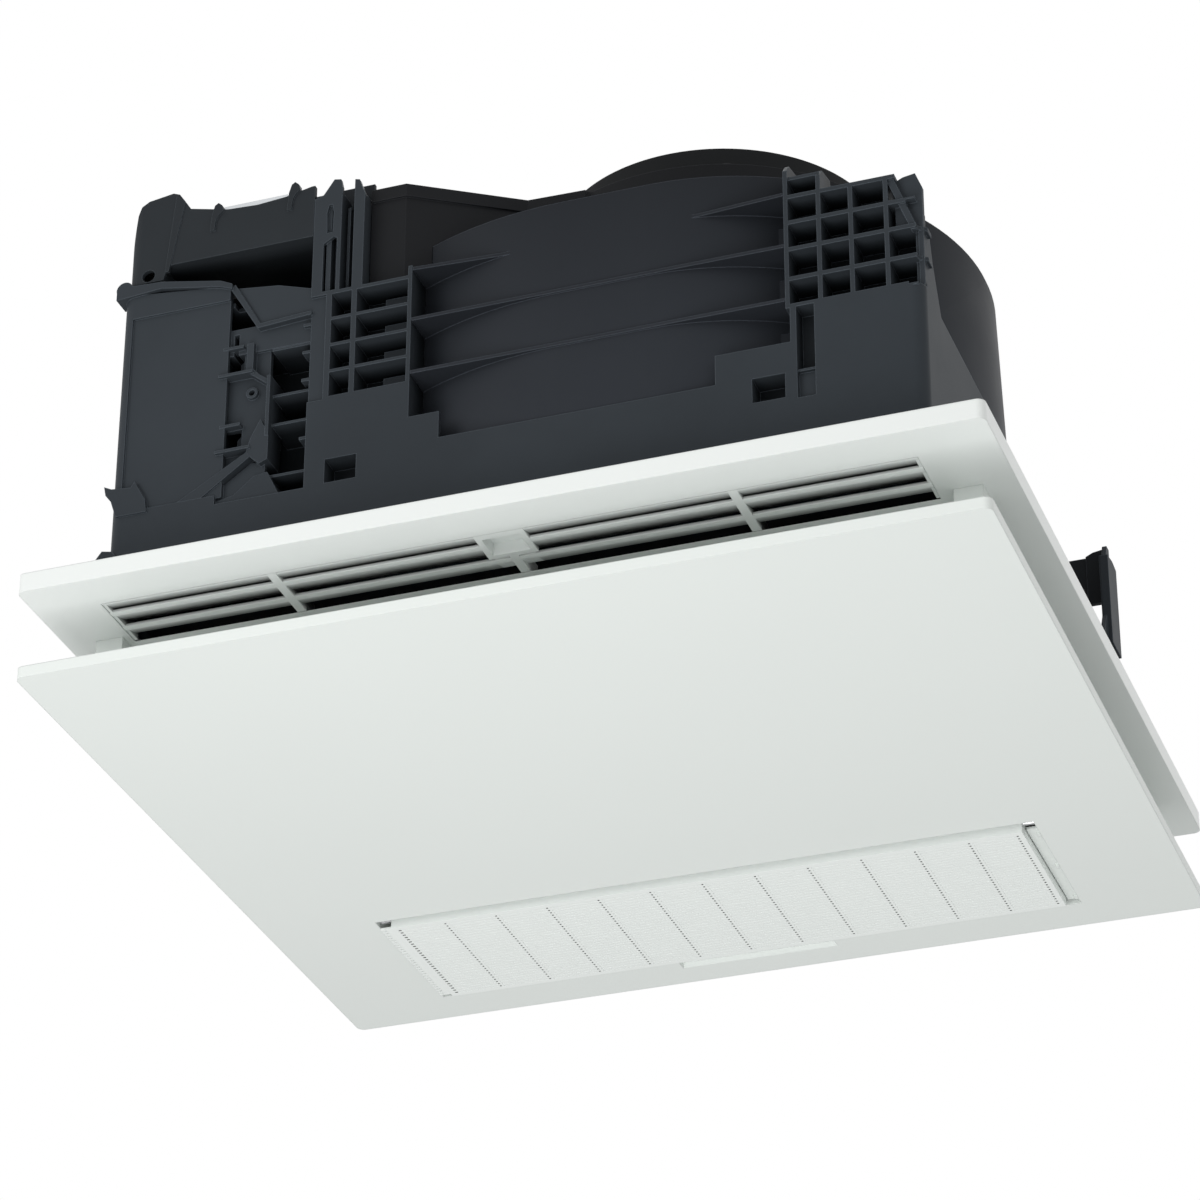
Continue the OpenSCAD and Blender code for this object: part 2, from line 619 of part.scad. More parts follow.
module latch_window() {
    // walls of the window and the face above it
    difference() {
        box(window_x0 - 2, window_x1 + 2, near_y + 3.5, near_y + window_depth + 2, window_z0 - 2, 136);
        box(window_x0, window_x1, near_y - 1, near_y + window_depth, window_z0, window_z1);
        box(-143, -140.5, near_y - 1, near_y + window_depth - 6, window_z1 - 1, 133);
    }
    // left column with its two square holes, set back from the panel
    difference() {
        box(window_x0 - 1, -124, near_y + 5, near_y + 8, window_z0 - 1, 126);
        box(-147.4, -137.8, near_y, near_y + 10, 109.6, 124);
        box(-147.2, -137.5, near_y, near_y + 10, 66.8, 79);
        translate([-132.4, near_y, 97.6]) rotate([-90, 0, 0]) cylinder(r = 1.6, h = 12);
        box(-130, -123, near_y, near_y + 10, 36, 66);
    }
    translate([-132.4, near_y + 3, 97.6]) rotate([-90, 0, 0]) tube(3, 1.6, 3);
    // shelves of the two catches
    for (z = [109, 66])
        box(-149, -131, near_y - 0.5, near_y + 8, z - 1.6, z);
    for (z = [124, 79.8])
        box(-147.6, -137, near_y + 1, near_y + 8, z - 0.6, z + 1);
    for (z = [110, 67])
        xz_plate([[-141, z], [-135, z], [-135, z + 11], [-138, z + 11], [-141, z + 8]],
            near_y + 8, near_y + 10);
    xz_plate([[-135, 125], [-131.5, 125], [-131.5, 110], [-128, 106], [-124, 103], [-124, 100],
        [-135, 109]], near_y + 1, near_y + 8);
    // upright bar and the block under it
    box(-123.4, -121.6, near_y, near_y + 16, 70, 104);
    xz_plate([[-131, 70], [-126, 80], [-121.6, 71], [-121.6, 57], [-126, 55], [-133, 62]],
        near_y + 0.5, near_y + 15);
    // diagonal strut from the skirt to the block
    xz_plate([[-167.4, 41.8], [-165, 39.5], [-158, 39.5], [-131, 59.6], [-132.5, 62.7]],
        near_y + 0.3, near_y + 5);
    xz_plate([[-156, 40.6], [-148, 37], [-131, 37], [-128, 45], [-124, 50], [-124, 56], [-131, 58]],
        near_y + 3.5, near_y + 6);
    // wedge at the foot of the window
    xz_plate([[-148, 36], [-148, 39], [-139, 41], [-133, 46], [-129, 49.5], [-122, 50.5], [-115, 36]],
        near_y + 2, near_y + 14);
    // fins in the deep part of the window
    for (z = [120.5, 93.8, 77.5, 48.8])
        box(-123, window_x1 + eps, near_y + 4, near_y + window_depth + eps, z - 0.7, z + 0.7);
}

module near_lug() {
    // hook that wraps the lower left corner
    xz_plate([[-206, 57], [-205, 52], [-202, 48], [-199, 39], [-183, 39], [-184, 46], [-190, 57],
        [-192, 54], [-202, 55]], near_y - 1, near_y + 5);
    // foot at the lower left corner
    xz_plate([[-208, 2], [-208, 17], [-205, 21], [-200, 20], [-196, 15], [-196, 2]], near_y - 1, near_y + 10);
}

module main_casing() {
    color([0.2, 0.215, 0.23])
    difference() {
        union() {
            xz_plate(skirt_outline, near_y, near_y + wall);
            for (p = near_pockets) blind_pocket_shell(p[0], p[1], p[2], p[3], pocket_depth);
            blind_pocket_shell(slot_x0, slot_x1, slot_z0, right_skirt_top - 1.6, 10);
            left_grid();
            left_fins();
            translate([side_shift, 0, 0]) right_grid();
            translate([-side_shift, 0, 0]) left_panel();
            latch_window();
            translate([-side_shift, 0, 0]) near_lug();
            upright_corner(1, -1, right_skirt_top, casing_corner_r);
            upright_corner(-1, -1, 168, casing_corner_r);
            for (sx = [-1, 1]) upright_corner(sx, 1, side_wall_top, casing_corner_r);
            translate([side_shift, 0, 0]) for (sy = [-1, 1]) corner_post(1, sy);
            translate([-side_shift, 0, 0]) corner_post(-1, 1);
            // side walls, the left one higher round the outlet chamber
            yz_plate(side_outline, body_x - wall, body_x);
            yz_plate([[near_y + casing_corner_r, 0], [near_y + casing_corner_r, 167], [chamber_y1, 152.5],
                [chamber_y1, side_wall_top], [-near_y - casing_corner_r, side_wall_top],
                [-near_y - casing_corner_r, 0]], -body_x, -body_x + wall);
            // far wall with its two link plates
            box(-body_x + casing_corner_r, body_x - casing_corner_r, body_y - wall, body_y, 0, side_wall_top);
            for (s = [-1, 1])
                box(s > 0 ? 165 : -191, s > 0 ? 191 : -165, body_y - wall - 2, body_y - 2,
                    side_wall_top - 2, 146);
            // floor and the flange that rests on the frame
            box(-body_x + wall - eps, body_x - wall + eps, near_y + wall - eps, body_y - wall + eps,
                0, floor_t);
            rect_ring(-body_x + 1, body_x - 1, -body_y + 1, body_y - 1, flange_out + 0.9, 0, floor_t);
            // ledges that carry the fan deck
            box(body_x - wall - 5, body_x - wall + 1, throat_y1 + wall + 1, body_y - wall + 1,
                deck_z0 - wall, deck_z0);
            box(-body_x + wall - 1, -body_x + wall + 5, chamber_y1 + 6, body_y - wall + 1,
                deck_z0 - wall, deck_z0);
            box(-body_x + wall, body_x - wall, body_y - wall - 5, body_y - wall + 1, deck_z0 - wall, deck_z0);
        }
        for (p = near_pockets) blind_pocket_hollow(p[0], p[1], p[2], p[3], pocket_depth);
        difference() {
            blind_pocket_hollow(slot_x0, slot_x1, slot_z0, right_skirt_top - 0.8, 10);
            box(slot_x0 - 1, slot_x1 + 1, near_y + 1, near_y + 11, 50, 51.2);
            box(slot_x0 - 1, slot_x1 + 1, near_y + 3, near_y + 11, slot_z0 - 1, 50.5);
        }
        // outlet throat and intake openings in the floor
        box(-body_x + wall + 2, body_x - wall - 2, -body_y + wall, throat_y1, -1, floor_t + 1);
        box(-intake_x + 12, intake_x - 12, intake_y0 + 4, body_y - wall - 6, -1, floor_t + 1);
        for (s = [-1, 1], i = [-1, 1])
            translate([s * body_x, i * joist_hole_pitch / 2, joist_hole_z]) rotate([0, 90, 0])
                cylinder(r = joist_hole_r, h = 20, center = true);
        for (p = frame_screw_spots)
            translate([p[0], p[1], -1]) cylinder(r = screw_r, h = 8);
    }
}

// room inside the casing's walls
module inside_walls(z0, z1) {
    translate([0, 0, z0]) linear_extrude(z1 - z0)
        round_rect(2 * (body_x - wall - fit), 2 * (body_y - wall - fit), casing_corner_r - wall);
}

// inner moulding that leads the warm air down to the grille
module outlet_duct() {
    near = near_y + 4.2;
    color([0.22, 0.23, 0.245])
    intersection() {
        inside_walls(0, chamber_top);
        outlet_duct_form(near);
    }
}

module outlet_duct_form(near) {
    difference() {
        union() {
            box(chamber_x1 - wall, body_x - wall - fit, throat_y1, throat_y1 + wall, floor_t + fit, deck_z0);
            box(chamber_x1 - wall, body_x - wall - fit, near_y + wall + fit, throat_y1 + wall,
                throat_top - wall, throat_top);
            box(chamber_x1 - wall, chamber_x1, near, chamber_y1, floor_t + fit, chamber_top);
            box(-body_x + wall + fit, chamber_x1, chamber_y1 - wall, chamber_y1, floor_t + fit, chamber_top);
            box(-body_x + wall + fit, chamber_x1, near, chamber_y1, chamber_top - wall, chamber_top);
            // ledges that carry the fan deck
            box(chamber_x1 - 1, chamber_x1 + 5, throat_y1 + 1, chamber_y1 + 5, deck_z0 - wall, deck_z0);
            box(-body_x + wall + fit, chamber_x1 + 5, chamber_y1 - 1, chamber_y1 + 5,
                deck_z0 - wall, deck_z0);
        }
        // room for the latch window and the near pockets of the casing
        box(window_x0 - 2 - fit, window_x1 + 2 + fit, near_y, near_y + window_depth + 2 + fit,
            window_z0 - 2 - fit, 136.5 + fit);
        box(-144, -134, near_y, near_y + 9 + fit, 140, chamber_top + 1);
        for (p = near_pockets)
            box(p[0] - 1.6 - fit, p[1] + 1.6 + fit, near_y, near_y + pocket_depth + 1.6 + fit, 30, 60);
        box(slot_x0 - 1.6 - fit, slot_x1 + 1.6 + fit, near_y, near_y + 11.6 + fit, 30, 60);
        // way from the throat into the outlet chamber
        box(chamber_x1 - wall - 1, chamber_x1 + 1, near_y, throat_y1, floor_t - 1, window_z0 - 3);
        // outlet of the scroll into the chamber
        box(chamber_x1 - wall - 1, chamber_x1 + 1, channel_y0 + 6, chamber_y1 - 8,
            deck_z1 + 2, chamber_top - 6);
    }
}

// ------------ scroll and fans

draft_gain = tan(scroll_draft) * (scroll_top - throat_top);
scroll_x = body_x - 3 - scroll_r;
scroll_y = near_y + scroll_inset + scroll_r;
wing_x = scroll_x - 44;
wing_y = near_y + scroll_inset + wing_r;
scroll_x0 = -60;

// solid body of the scroll, t inside its outer face
module scroll_body(t, z0, z1) {
    h = scroll_top - throat_top;
    intersection() {
        union() {
            translate([scroll_x, scroll_y, throat_top]) cylinder(r = scroll_r - t, h = h);
            // the drafted side leans in towards the top
            translate([scroll_x, scroll_y + draft_gain, throat_top])
                cylinder(r1 = scroll_r + draft_gain - t, r2 = scroll_r - t, h = h);
            intersection() {
                translate([wing_x, wing_y, throat_top]) cylinder(r = wing_r - t, h = h);
                box(scroll_x0 + t, wing_x + eps, -300, fan_y, z0, z1);
            }
            box(wing_x, scroll_x, near_y + scroll_inset + t, fan_y, z0, z1);
            box(chamber_x1 + (t > 0 ? -1 : fit), scroll_x0 + t + eps, channel_y0 + t, chamber_y1 - t, z0, z1);
            box(scroll_x0, scroll_x, fan_y - 20, chamber_y1 - t, z0, z1);
        }
        box(-300, 300, -300, 300, z0, z1);
    }
}

module scroll_casing() {
    color([0.195, 0.21, 0.225])
    difference() {
        union() {
            difference() {
                union() {
                    scroll_body(0, deck_z1, scroll_top);
                    intersection() {
                        scroll_body(0, throat_top, scroll_top);
                        box(-60, 204, near_y, throat_y1, throat_top, scroll_top);
                    }
                }
                scroll_body(wall, throat_top - 1, top_plate_z0);
            }
            // ribs that reach from the scroll to the near plane
            for (z = [rib_heights[1], rib_heights[2]]) difference() {
                box(bay_x0 + fit, bay_x1 - fit, near_y, scroll_y - 40, z - 0.9, z + 0.9);
                scroll_body(wall / 2, throat_top, scroll_top);
            }
            // the top rib runs out into the scroll on both sides
            difference() {
                translate([0, 0, rib_heights[0] - 0.9]) linear_extrude(1.8)
                    polygon([[bay_x0 + fit, near_y], [-5, near_y + 2.8], [95, near_y + 2.8],
                        [bay_x1 - fit, near_y], [bay_x1 - fit, -100], [bay_x0 + fit, -100]]);
                scroll_body(wall / 2, throat_top, scroll_top);
            }
            // small webs in the right-hand bays
            for (z = rib_heights) difference() {
                box(126, bay_x1 - fit, near_y + cell_depth, near_y + cell_depth + 1.8, z - 22, z - 8);
                scroll_body(wall / 2, throat_top, scroll_top);
            }
            // pads that carry the exhaust casing
            for (p = casing_screw_spots)
                translate([p[0], p[1], top_plate_z0 - 8]) cylinder(r = 5, h = 9);
        }
        // raised parts of the near wall stand outside the scroll
        box(102.5 - fit, 300, near_y - 1, near_y + wall + fit, 0, 66.5);
        box(-300, -34 + fit, near_y - 1, near_y + wall + fit, 0, 65);
        box(near_pockets[1][0] - 1.6 - fit, 300, near_y - 1, near_y + pocket_depth + 1.6 + fit,
            0, 51.6 + fit);
        box(bay_x1 - fit, 300, near_y - 1, near_y + cell_depth + 1.6 + fit, 0, 175);
        box(-300, bay_x0 + fit, near_y - 1, near_y + cell_depth + 1.6 + fit, 0, 160);
        box(body_x - wall - fit, 300, -300, 300, 0, side_wall_top + fit);
        box(-300, 300, near_y - 1, near_y + wall + fit, 0, 50.5);
        box(196, 300, near_y - 1, near_y + 30, 0, 175);
        // way out of the scroll, and the exhaust inlet round the motor
        box(chamber_x1 - 2, scroll_x0 + 1, channel_y0 + wall, chamber_y1 - wall, deck_z1 - 1, top_plate_z0);
        on_fan_axis() translate([0, 0, top_plate_z0 - 1]) cylinder(r = inlet_r, h = wall + 2);
        on_fan_axis() for (a = [0:120:240]) rotate(a) translate([mount_r + 4, 0, top_plate_z0 - 1])
            cylinder(r = screw_r + fit, h = wall + 2);
        for (p = casing_screw_spots)
            translate([p[0], p[1], top_plate_z0 - 9]) cylinder(r = screw_r, h = 20);
    }
}

module fan_deck() {
    color([0.24, 0.25, 0.26])
    difference() {
        intersection() {
            inside_walls(deck_z0, deck_z1);
            fan_deck_form();
        }
        box(-300, 300, near_y - 1, near_y + wall + fit, 0, 100);
        on_fan_axis() translate([0, 0, deck_z0 - 1]) cylinder(r = inlet_r + 14, h = wall + 2);
    }
}

module fan_deck_form() {
    union() {
        box(chamber_x1 + fit, body_x, throat_y1 + wall + fit, body_y, deck_z0, deck_z1);
        box(-body_x, 0, chamber_y1 + fit, body_y, deck_z0, deck_z1);
        intersection() {
            scroll_body(wall + fit, deck_z0, deck_z1);
            box(-60, 198, near_y, throat_y1 + wall + 1, deck_z0, deck_z1);
        }
    }
}

module bell_mouth() {
    throat_r = inlet_r + 4;
    color([0.24, 0.25, 0.26])
    on_fan_axis() translate([0, 0, deck_z0 - wall]) {
        tube(inlet_r + 22, throat_r + 8, wall);
        translate([0, 0, wall - eps]) tube(inlet_r + 14 - fit, throat_r + 8, wall + eps);
        // rounded throat
        rotate_extrude() difference() {
            translate([throat_r, 0]) square([8 + eps, 8]);
            translate([throat_r + 8, -1.6]) circle(6.5);
        }
    }
}

blade_t = 1.2;

module circulation_impeller() {
    cup_r = motor_r + 6;
    hub_z0 = motor_z0 - 12;
    color([0.16, 0.17, 0.18])
    on_fan_axis() difference() {
        union() {
            translate([0, 0, impeller_z1 - 2]) cylinder(r = impeller_r, h = 2);
            translate([0, 0, impeller_z0]) tube(impeller_r, impeller_r - 15, 2.5);
            translate([0, 0, hub_z0 + 4]) cylinder(r = cup_r + 2, h = impeller_z1 - hub_z0 - 4);
            translate([0, 0, hub_z0]) cylinder(r = 9, h = 8);
            for (i = [0:impeller_blades - 1]) rotate(i * 360 / impeller_blades)
                translate([impeller_r - 1, 0, impeller_z0]) rotate(28)
                    translate([-14, -blade_t / 2, 0]) cube([14, blade_t, impeller_h]);
        }
        translate([0, 0, hub_z0 + 6]) cylinder(r = cup_r, h = impeller_h);
        translate([0, 0, hub_z0 - 1]) cylinder(r = shaft_r, h = 30);
    }
}

module exhaust_impeller() {
    h = exhaust_z1 - exhaust_z0;
    color([0.16, 0.17, 0.18])
    on_fan_axis() difference() {
        union() {
            translate([0, 0, exhaust_z1 - 1.6]) cylinder(r = exhaust_r, h = 1.6);
            translate([0, 0, exhaust_z0]) tube(exhaust_r, exhaust_r - 12, 1.6);
            translate([0, 0, exhaust_z1 - 12]) cylinder(r = 9, h = 12);
            for (i = [0:exhaust_blades - 1]) rotate(i * 360 / exhaust_blades)
                translate([exhaust_r - 1, 0, exhaust_z0]) rotate(28)
                    translate([-11, -blade_t / 2, 0]) cube([11, blade_t, h]);
        }
        translate([0, 0, exhaust_z1 - 13]) cylinder(r = shaft_r, h = 20);
    }
}

bearing_r = 9;
bearing_h = 6;
can_t = 1.5;
cap_t = 8;

module motor_can() {
    color([0.7, 0.71, 0.73])
    on_fan_axis() difference() {
        translate([0, 0, motor_z0]) cylinder(r = motor_r, h = motor_z1 - motor_z0 - cap_t);
        translate([0, 0, motor_z0 + cap_t]) cylinder(r = motor_r - can_t, h = motor_z1);
        translate([0, 0, motor_z0 + 1.5]) cylinder(r = bearing_r, h = cap_t);
        translate([0, 0, motor_z0 - 1]) cylinder(r = shaft_r + 1, h = cap_t);
    }
}

module motor_end_cap() {
    color([0.62, 0.63, 0.65])
    on_fan_axis() difference() {
        translate([0, 0, motor_z1 - cap_t]) cylinder(r = motor_r, h = cap_t);
        translate([0, 0, motor_z1 - cap_t - 1]) cylinder(r = bearing_r, h = cap_t - 0.5);
        translate([0, 0, motor_z1 - cap_t - 1]) cylinder(r = shaft_r + 1, h = cap_t + 2);
        for (a = [0:120:240]) rotate(a) translate([28, 0, motor_z1 - cap_t + 2])
            cylinder(r = screw_r, h = cap_t);
    }
}

stator_z0 = motor_z0 + cap_t + 2;
stator_z1 = motor_z1 - cap_t - 2;
rotor_r = 19;

module stator() {
    color([0.55, 0.42, 0.3])
    on_fan_axis() translate([0, 0, stator_z0]) difference() {
        cylinder(r = motor_r - can_t, h = stator_z1 - stator_z0);
        translate([0, 0, -1]) cylinder(r = rotor_r + 0.5, h = 60);
        for (i = [0:11]) rotate(i * 30) translate([rotor_r + 3, -2, -1]) cube([9, 4, 60]);
    }
}

module rotor() {
    color([0.5, 0.5, 0.52])
    on_fan_axis() translate([0, 0, stator_z0]) tube(rotor_r, shaft_r, stator_z1 - stator_z0);
}

nut_h = 4;
shaft_z0 = motor_z0 - 12 - nut_h - 2;
shaft_z1 = exhaust_z1 + nut_h + 2;

module motor_shaft() {
    color([0.78, 0.79, 0.8])
    on_fan_axis() translate([0, 0, shaft_z0]) cylinder(r = shaft_r, h = shaft_z1 - shaft_z0);
}

module bearings() {
    color([0.8, 0.8, 0.82])
    on_fan_axis() {
        translate([0, 0, motor_z0 + 1.5]) tube(bearing_r, shaft_r + run_gap, bearing_h);
        translate([0, 0, motor_z1 - cap_t - 0.5]) tube(bearing_r, shaft_r + run_gap, bearing_h);
    }
}

module impeller_nuts() {
    color([0.75, 0.75, 0.77])
    on_fan_axis() for (z = [motor_z0 - 12 - nut_h, exhaust_z1])
        translate([0, 0, z]) difference() {
            cylinder(r = 7, h = nut_h, $fn = 6);
            translate([0, 0, -1]) cylinder(r = shaft_r, h = nut_h + 2);
        }
}

bracket_t = 2;
rubber_h = top_plate_z0 - motor_z1 - bracket_t;

module motor_bracket() {
    color([0.68, 0.69, 0.71])
    on_fan_axis() translate([0, 0, motor_z1]) difference() {
        union() {
            cylinder(r = 34, h = bracket_t);
            for (a = [0:120:240]) rotate(a) {
                translate([20, -7, 0]) cube([mount_r + 4 - 20, 14, bracket_t]);
                translate([mount_r + 4, 0, 0]) cylinder(r = 7, h = bracket_t);
            }
        }
        translate([0, 0, -1]) cylinder(r = 14, h = bracket_t + 2);
        for (a = [0:120:240]) rotate(a) {
            translate([mount_r + 4, 0, -1]) cylinder(r = screw_r + fit, h = bracket_t + 2);
            translate([28, 0, -1]) cylinder(r = screw_r + fit, h = bracket_t + 2);
        }
    }
}

module rubber_mounts() {
    color([0.12, 0.12, 0.13])
    on_fan_axis() for (a = [0:120:240]) rotate(a)
        translate([mount_r + 4, 0, motor_z1 + bracket_t]) tube(6.5, screw_r + fit, rubber_h);
}

module screw(r_head, h_head, length, down) {
    // head above z = 0 and shank below it, or turned over
    rotate([down ? 0 : 180, 0, 0]) {
        cylinder(r = r_head, h = h_head);
        translate([0, 0, -length]) cylinder(r = screw_r - 0.05, h = length + eps);
    }
}

module motor_screws() {
    color([0.72, 0.72, 0.74])
    on_fan_axis() for (a = [0:120:240]) rotate(a) {
        translate([mount_r + 4, 0, scroll_top]) screw(3.8, 2, scroll_top - motor_z1 + nut_h + 1, true);
        translate([28, 0, motor_z1 + bracket_t]) screw(3.6, 1.6, bracket_t + 4, true);
    }
}

module motor_nuts() {
    color([0.75, 0.75, 0.77])
    on_fan_axis() for (a = [0:120:240]) rotate(a)
        translate([mount_r + 4, 0, motor_z1 - nut_h]) difference() {
            cylinder(r = 4.2, h = nut_h, $fn = 6);
            translate([0, 0, -1]) cylinder(r = screw_r - 0.05, h = nut_h + 2);
        }
}

// ------------ exhaust side

ear_r = exhaust_chamber_r + 4.5;
casing_screw_spots = [for (a = [92, 50, -35]) [fan_x + ear_r * cos(a), fan_y + ear_r * sin(a)]];

passage_x0 = box_x1 + wall + fit;

// outline of the exhaust passage, seen from above
passage_y0 = near_y + 8;
apron_z0 = 147;
passage_outline = [[-75, near_y + 22], [-75, passage_y0], [-57, passage_y0], [-6, near_y + 41],
    [24, near_y + 42], [62, near_y + 68], [62, 30], [10, box_y1], [passage_x0, box_y1], [passage_x0, box_y0],
    [-100, box_y0], [-100, -60], [-100, near_y + 22]];
passage_inner = [[-72.5, near_y + 25], [-72.5, passage_y0 + wall], [-58, passage_y0 + wall],
    [-7, near_y + 43.5], [24, near_y + 44.5], [62, near_y + 70], [62, 28], [9, box_y1 - wall],
    [passage_x0 - 1, box_y1 - wall], [passage_x0 - 1, box_y0 + wall], [-97.5, box_y0 + wall], [-97.5, -62],
    [-97.5, near_y + 25]];

// upper left casing with its dipped top edge, in X and Z
upper_outline = [[-202, 172], [-202, 176], [-200.5, 197], [-198, 214], [-196, 218.5], [-192, 221],
    [-179, 223], [-175.5, 221.5], [-172.5, 217], [-169, 211.5], [-149, 206.5], [-133, 205.6],
    [-118, 206.8], [-104, 209.8], [-102.2, 209.8], [-102.2, electric_z0], [-180, electric_z0],
    [-182, 172]];

module control_box() {
    color([0.2, 0.215, 0.23])
    translate([-side_shift, 0, 0]) difference() {
        union() {
            xz_plate(upper_outline, near_y, near_y + wall);
            // rounded end piece
            xz_plate(concat([for (i = [0:5]) upper_outline[i]], [[-184, 222.2], [-182, 214], [-182, 172]]),
                near_y, electric_y1);
            // walls, floor and roof rail of the compartment
            box(-184, -103, near_y + eps, electric_y1, electric_z0, electric_z0 + wall);
            box(-105.5, -103, near_y + eps, electric_y1, electric_z0, exhaust_top);
            box(-184, -103, electric_y1 - wall, electric_y1, chamber_top, exhaust_top);
            for (p = board_spots)
                translate([p[0], p[1], electric_z0 + eps]) cylinder(r = 3, h = wall + 4 - eps);
            for (p = lid_screw_spots)
                box(p[0] - 4, p[0] + 4, p[1] - 4, electric_y1 - 1, exhaust_top - 10, exhaust_top);
            // flat seat round the cord inlet
            translate([-202.4, gland_y, gland_z]) rotate([0, 90, 0]) cylinder(r = gland_r + 4, h = 6);
            // raised rib beside the end piece
            xz_plate([[-181, 176], [-179, 176], [-172, 216], [-177, 221]], near_y - 0.6, near_y + 1);
            // lugs on the top edge
            for (p = [[-157.6, 195], [-116.6, 198]]) translate([p[0], 0, p[1]])
                xz_plate([[0, 0], [0.8, 10], [2.2, 14.6], [4, 15.8], [6, 14], [6.8, 10.7], [4.6, 9], [3, 6],
                    [2.4, 0]], near_y - 1, near_y + wall);
        }
        // rounded upright corner of the end piece
        difference() {
            box(-210, -194.9, near_y - 1, near_y + 6.5, 170, exhaust_top + 30);
            translate([-194.9, near_y + 6.5, 169]) cylinder(r = 6.5, h = 80);
        }
        // room for the bead's rounded end
        translate([-201.8, near_y - 2, 169.4]) rotate([-90, 0, 0]) cylinder(r = 4.4 + fit, h = 26);
        box(-199, -184.5, near_y + wall, electric_y1 - wall, 175, 214);
        for (p = board_spots) translate([p[0], p[1], electric_z0 + wall]) cylinder(r = board_screw_r, h = 6);
        for (p = lid_screw_spots)
            translate([p[0], p[1], exhaust_top - 9]) cylinder(r = screw_r - 0.05, h = 10);
        translate([-190, near_y - 1, 176]) rotate([-90, 0, 0]) cylinder(r = 3.4, h = 6);
        // wide hole for the cord inlet, with the wall behind it
        translate([-204, gland_y, gland_z]) rotate([0, 90, 0]) cylinder(r = gland_r + fit, h = 25);
    }
}

gland_r = 8;
gland_y = -120;
gland_z = 196;
board_spots = [[-174, -168], [-112, -168], [-174, -78], [-112, -78]];
board_screw_r = 1.3;

module exhaust_casing() {
    color([0.19, 0.205, 0.22])
    difference() {
        union() {
            difference() {
                union() {
                    translate([0, 0, scroll_top]) linear_extrude(exhaust_top - scroll_top)
                        polygon(passage_outline);
                    on_fan_axis() translate([0, 0, scroll_top])
                        cylinder(r = exhaust_chamber_r, h = exhaust_top - scroll_top);
                }
                translate([0, 0, scroll_top + wall]) linear_extrude(exhaust_top - scroll_top - 2 * wall)
                    polygon(passage_inner);
                on_fan_axis() translate([0, 0, scroll_top - 1])
                    cylinder(r = exhaust_chamber_r - wall, h = exhaust_top - scroll_top - wall + 1);
            }
            // rim under the top edge of the passage
            translate([0, 0, exhaust_top - 7]) linear_extrude(7) polygon([[-75, -179], [-75, -181.2],
                [-56.6, -181.2], [-5.6, -148.2], [24, -147.2], [24, -145], [-6, -146], [-57, -179]]);
            for (p = casing_screw_spots)
                translate([p[0], p[1], scroll_top]) cylinder(r = 6, h = 8);
            // apron that closes the gap down to the grid
            difference() {
                translate([0, 0, apron_z0]) linear_extrude(scroll_top - apron_z0 + 1)
                    polygon([[-75, passage_y0 + 14], [-75, passage_y0], [-57, passage_y0], [-40, near_y + 19],
                        [-40, near_y + 22], [-58, passage_y0 + wall], [-72.5, passage_y0 + wall],
                        [-72.5, passage_y0 + 14]]);
                scroll_body(-fit, apron_z0 - 1, scroll_top);
                box(bay_x0 - 2 - fit, 0, near_y, near_y + 30, apron_z0 - 1, 151 + fit);
            }
        }
        // seat of the dome
        on_fan_axis() translate([0, 0, exhaust_top - wall - 1]) cylinder(r = dome_r - 5, h = wall + 2);
        for (p = casing_screw_spots)
            translate([p[0], p[1], scroll_top - 1]) cylinder(r = screw_r + fit, h = 12);
        for (p = dome_screw_spots)
            translate([p[0], p[1], exhaust_top - wall - 1]) cylinder(r = screw_r, h = wall + 2);
    }
}

// box at the left that the exhaust passage opens into
module duct_box() {
    color([0.19, 0.205, 0.22])
    difference() {
        box(box_x0, box_x1 + wall, box_y0, box_y1, box_z0, exhaust_top);
        box(box_x0 + wall, box_x1, box_y0 + wall, box_y1 - wall, box_z0 + wall, exhaust_top - wall);
        // window that the damper closes
        box(box_x1 - 1, box_x1 + wall + 1, box_y0 + wall + 3, box_y1 - wall - 3,
            scroll_top + 5, exhaust_top - wall - 5);
        // duct hole
        translate([box_x0 - 1, duct_y, duct_z]) rotate([0, 90, 0]) cylinder(r = duct_r - 2, h = wall + 2);
        for (a = [45:90:315])
            translate([box_x0 - 1, duct_y, duct_z]) rotate([0, 90, 0]) rotate(a)
                translate([duct_r + 7, 0, 0]) cylinder(r = screw_r - 0.3, h = wall + 2);
        // damper pin holes
        translate([damper_x, box_y0 - 1, damper_z]) rotate([-90, 0, 0])
            cylinder(r = damper_pin_r + run_gap, h = box_y1 - box_y0 + 2);
    }
}

dome_screw_spots = [for (a = [20:90:290]) [fan_x + (dome_r + 7) * cos(a), fan_y + (dome_r + 7) * sin(a)]];

module exhaust_dome() {
    color([0.12, 0.13, 0.145])
    difference() {
        union() {
            on_fan_axis() translate([0, 0, exhaust_top]) difference() {
                union() {
                    cylinder(r = dome_r, h = dome_h);
                    cylinder(r = dome_r - 5 - fit, h = dome_h);
                }
                translate([0, 0, -1]) cylinder(r = dome_r - wall - 3, h = dome_h + 1 - wall);
            }
            for (p = dome_screw_spots)
                translate([p[0], p[1], exhaust_top]) cylinder(r = 5, h = 4);
            on_fan_axis() for (a = [20:90:290]) rotate(a)
                translate([dome_r - 2, -4, exhaust_top]) cube([8, 8, 4]);
        }
        for (p = dome_screw_spots)
            translate([p[0], p[1], exhaust_top - 1]) cylinder(r = screw_r + fit, h = 10);
    }
}

module dome_screws() {
    color([0.72, 0.72, 0.74])
    for (p = dome_screw_spots) translate([p[0], p[1], exhaust_top + 4]) screw(3.6, 1.8, 5.5, true);
}

module casing_screws() {
    color([0.72, 0.72, 0.74])
    for (p = casing_screw_spots) translate([p[0], p[1], scroll_top + 8]) screw(3.6, 1.8, 14, true);
}

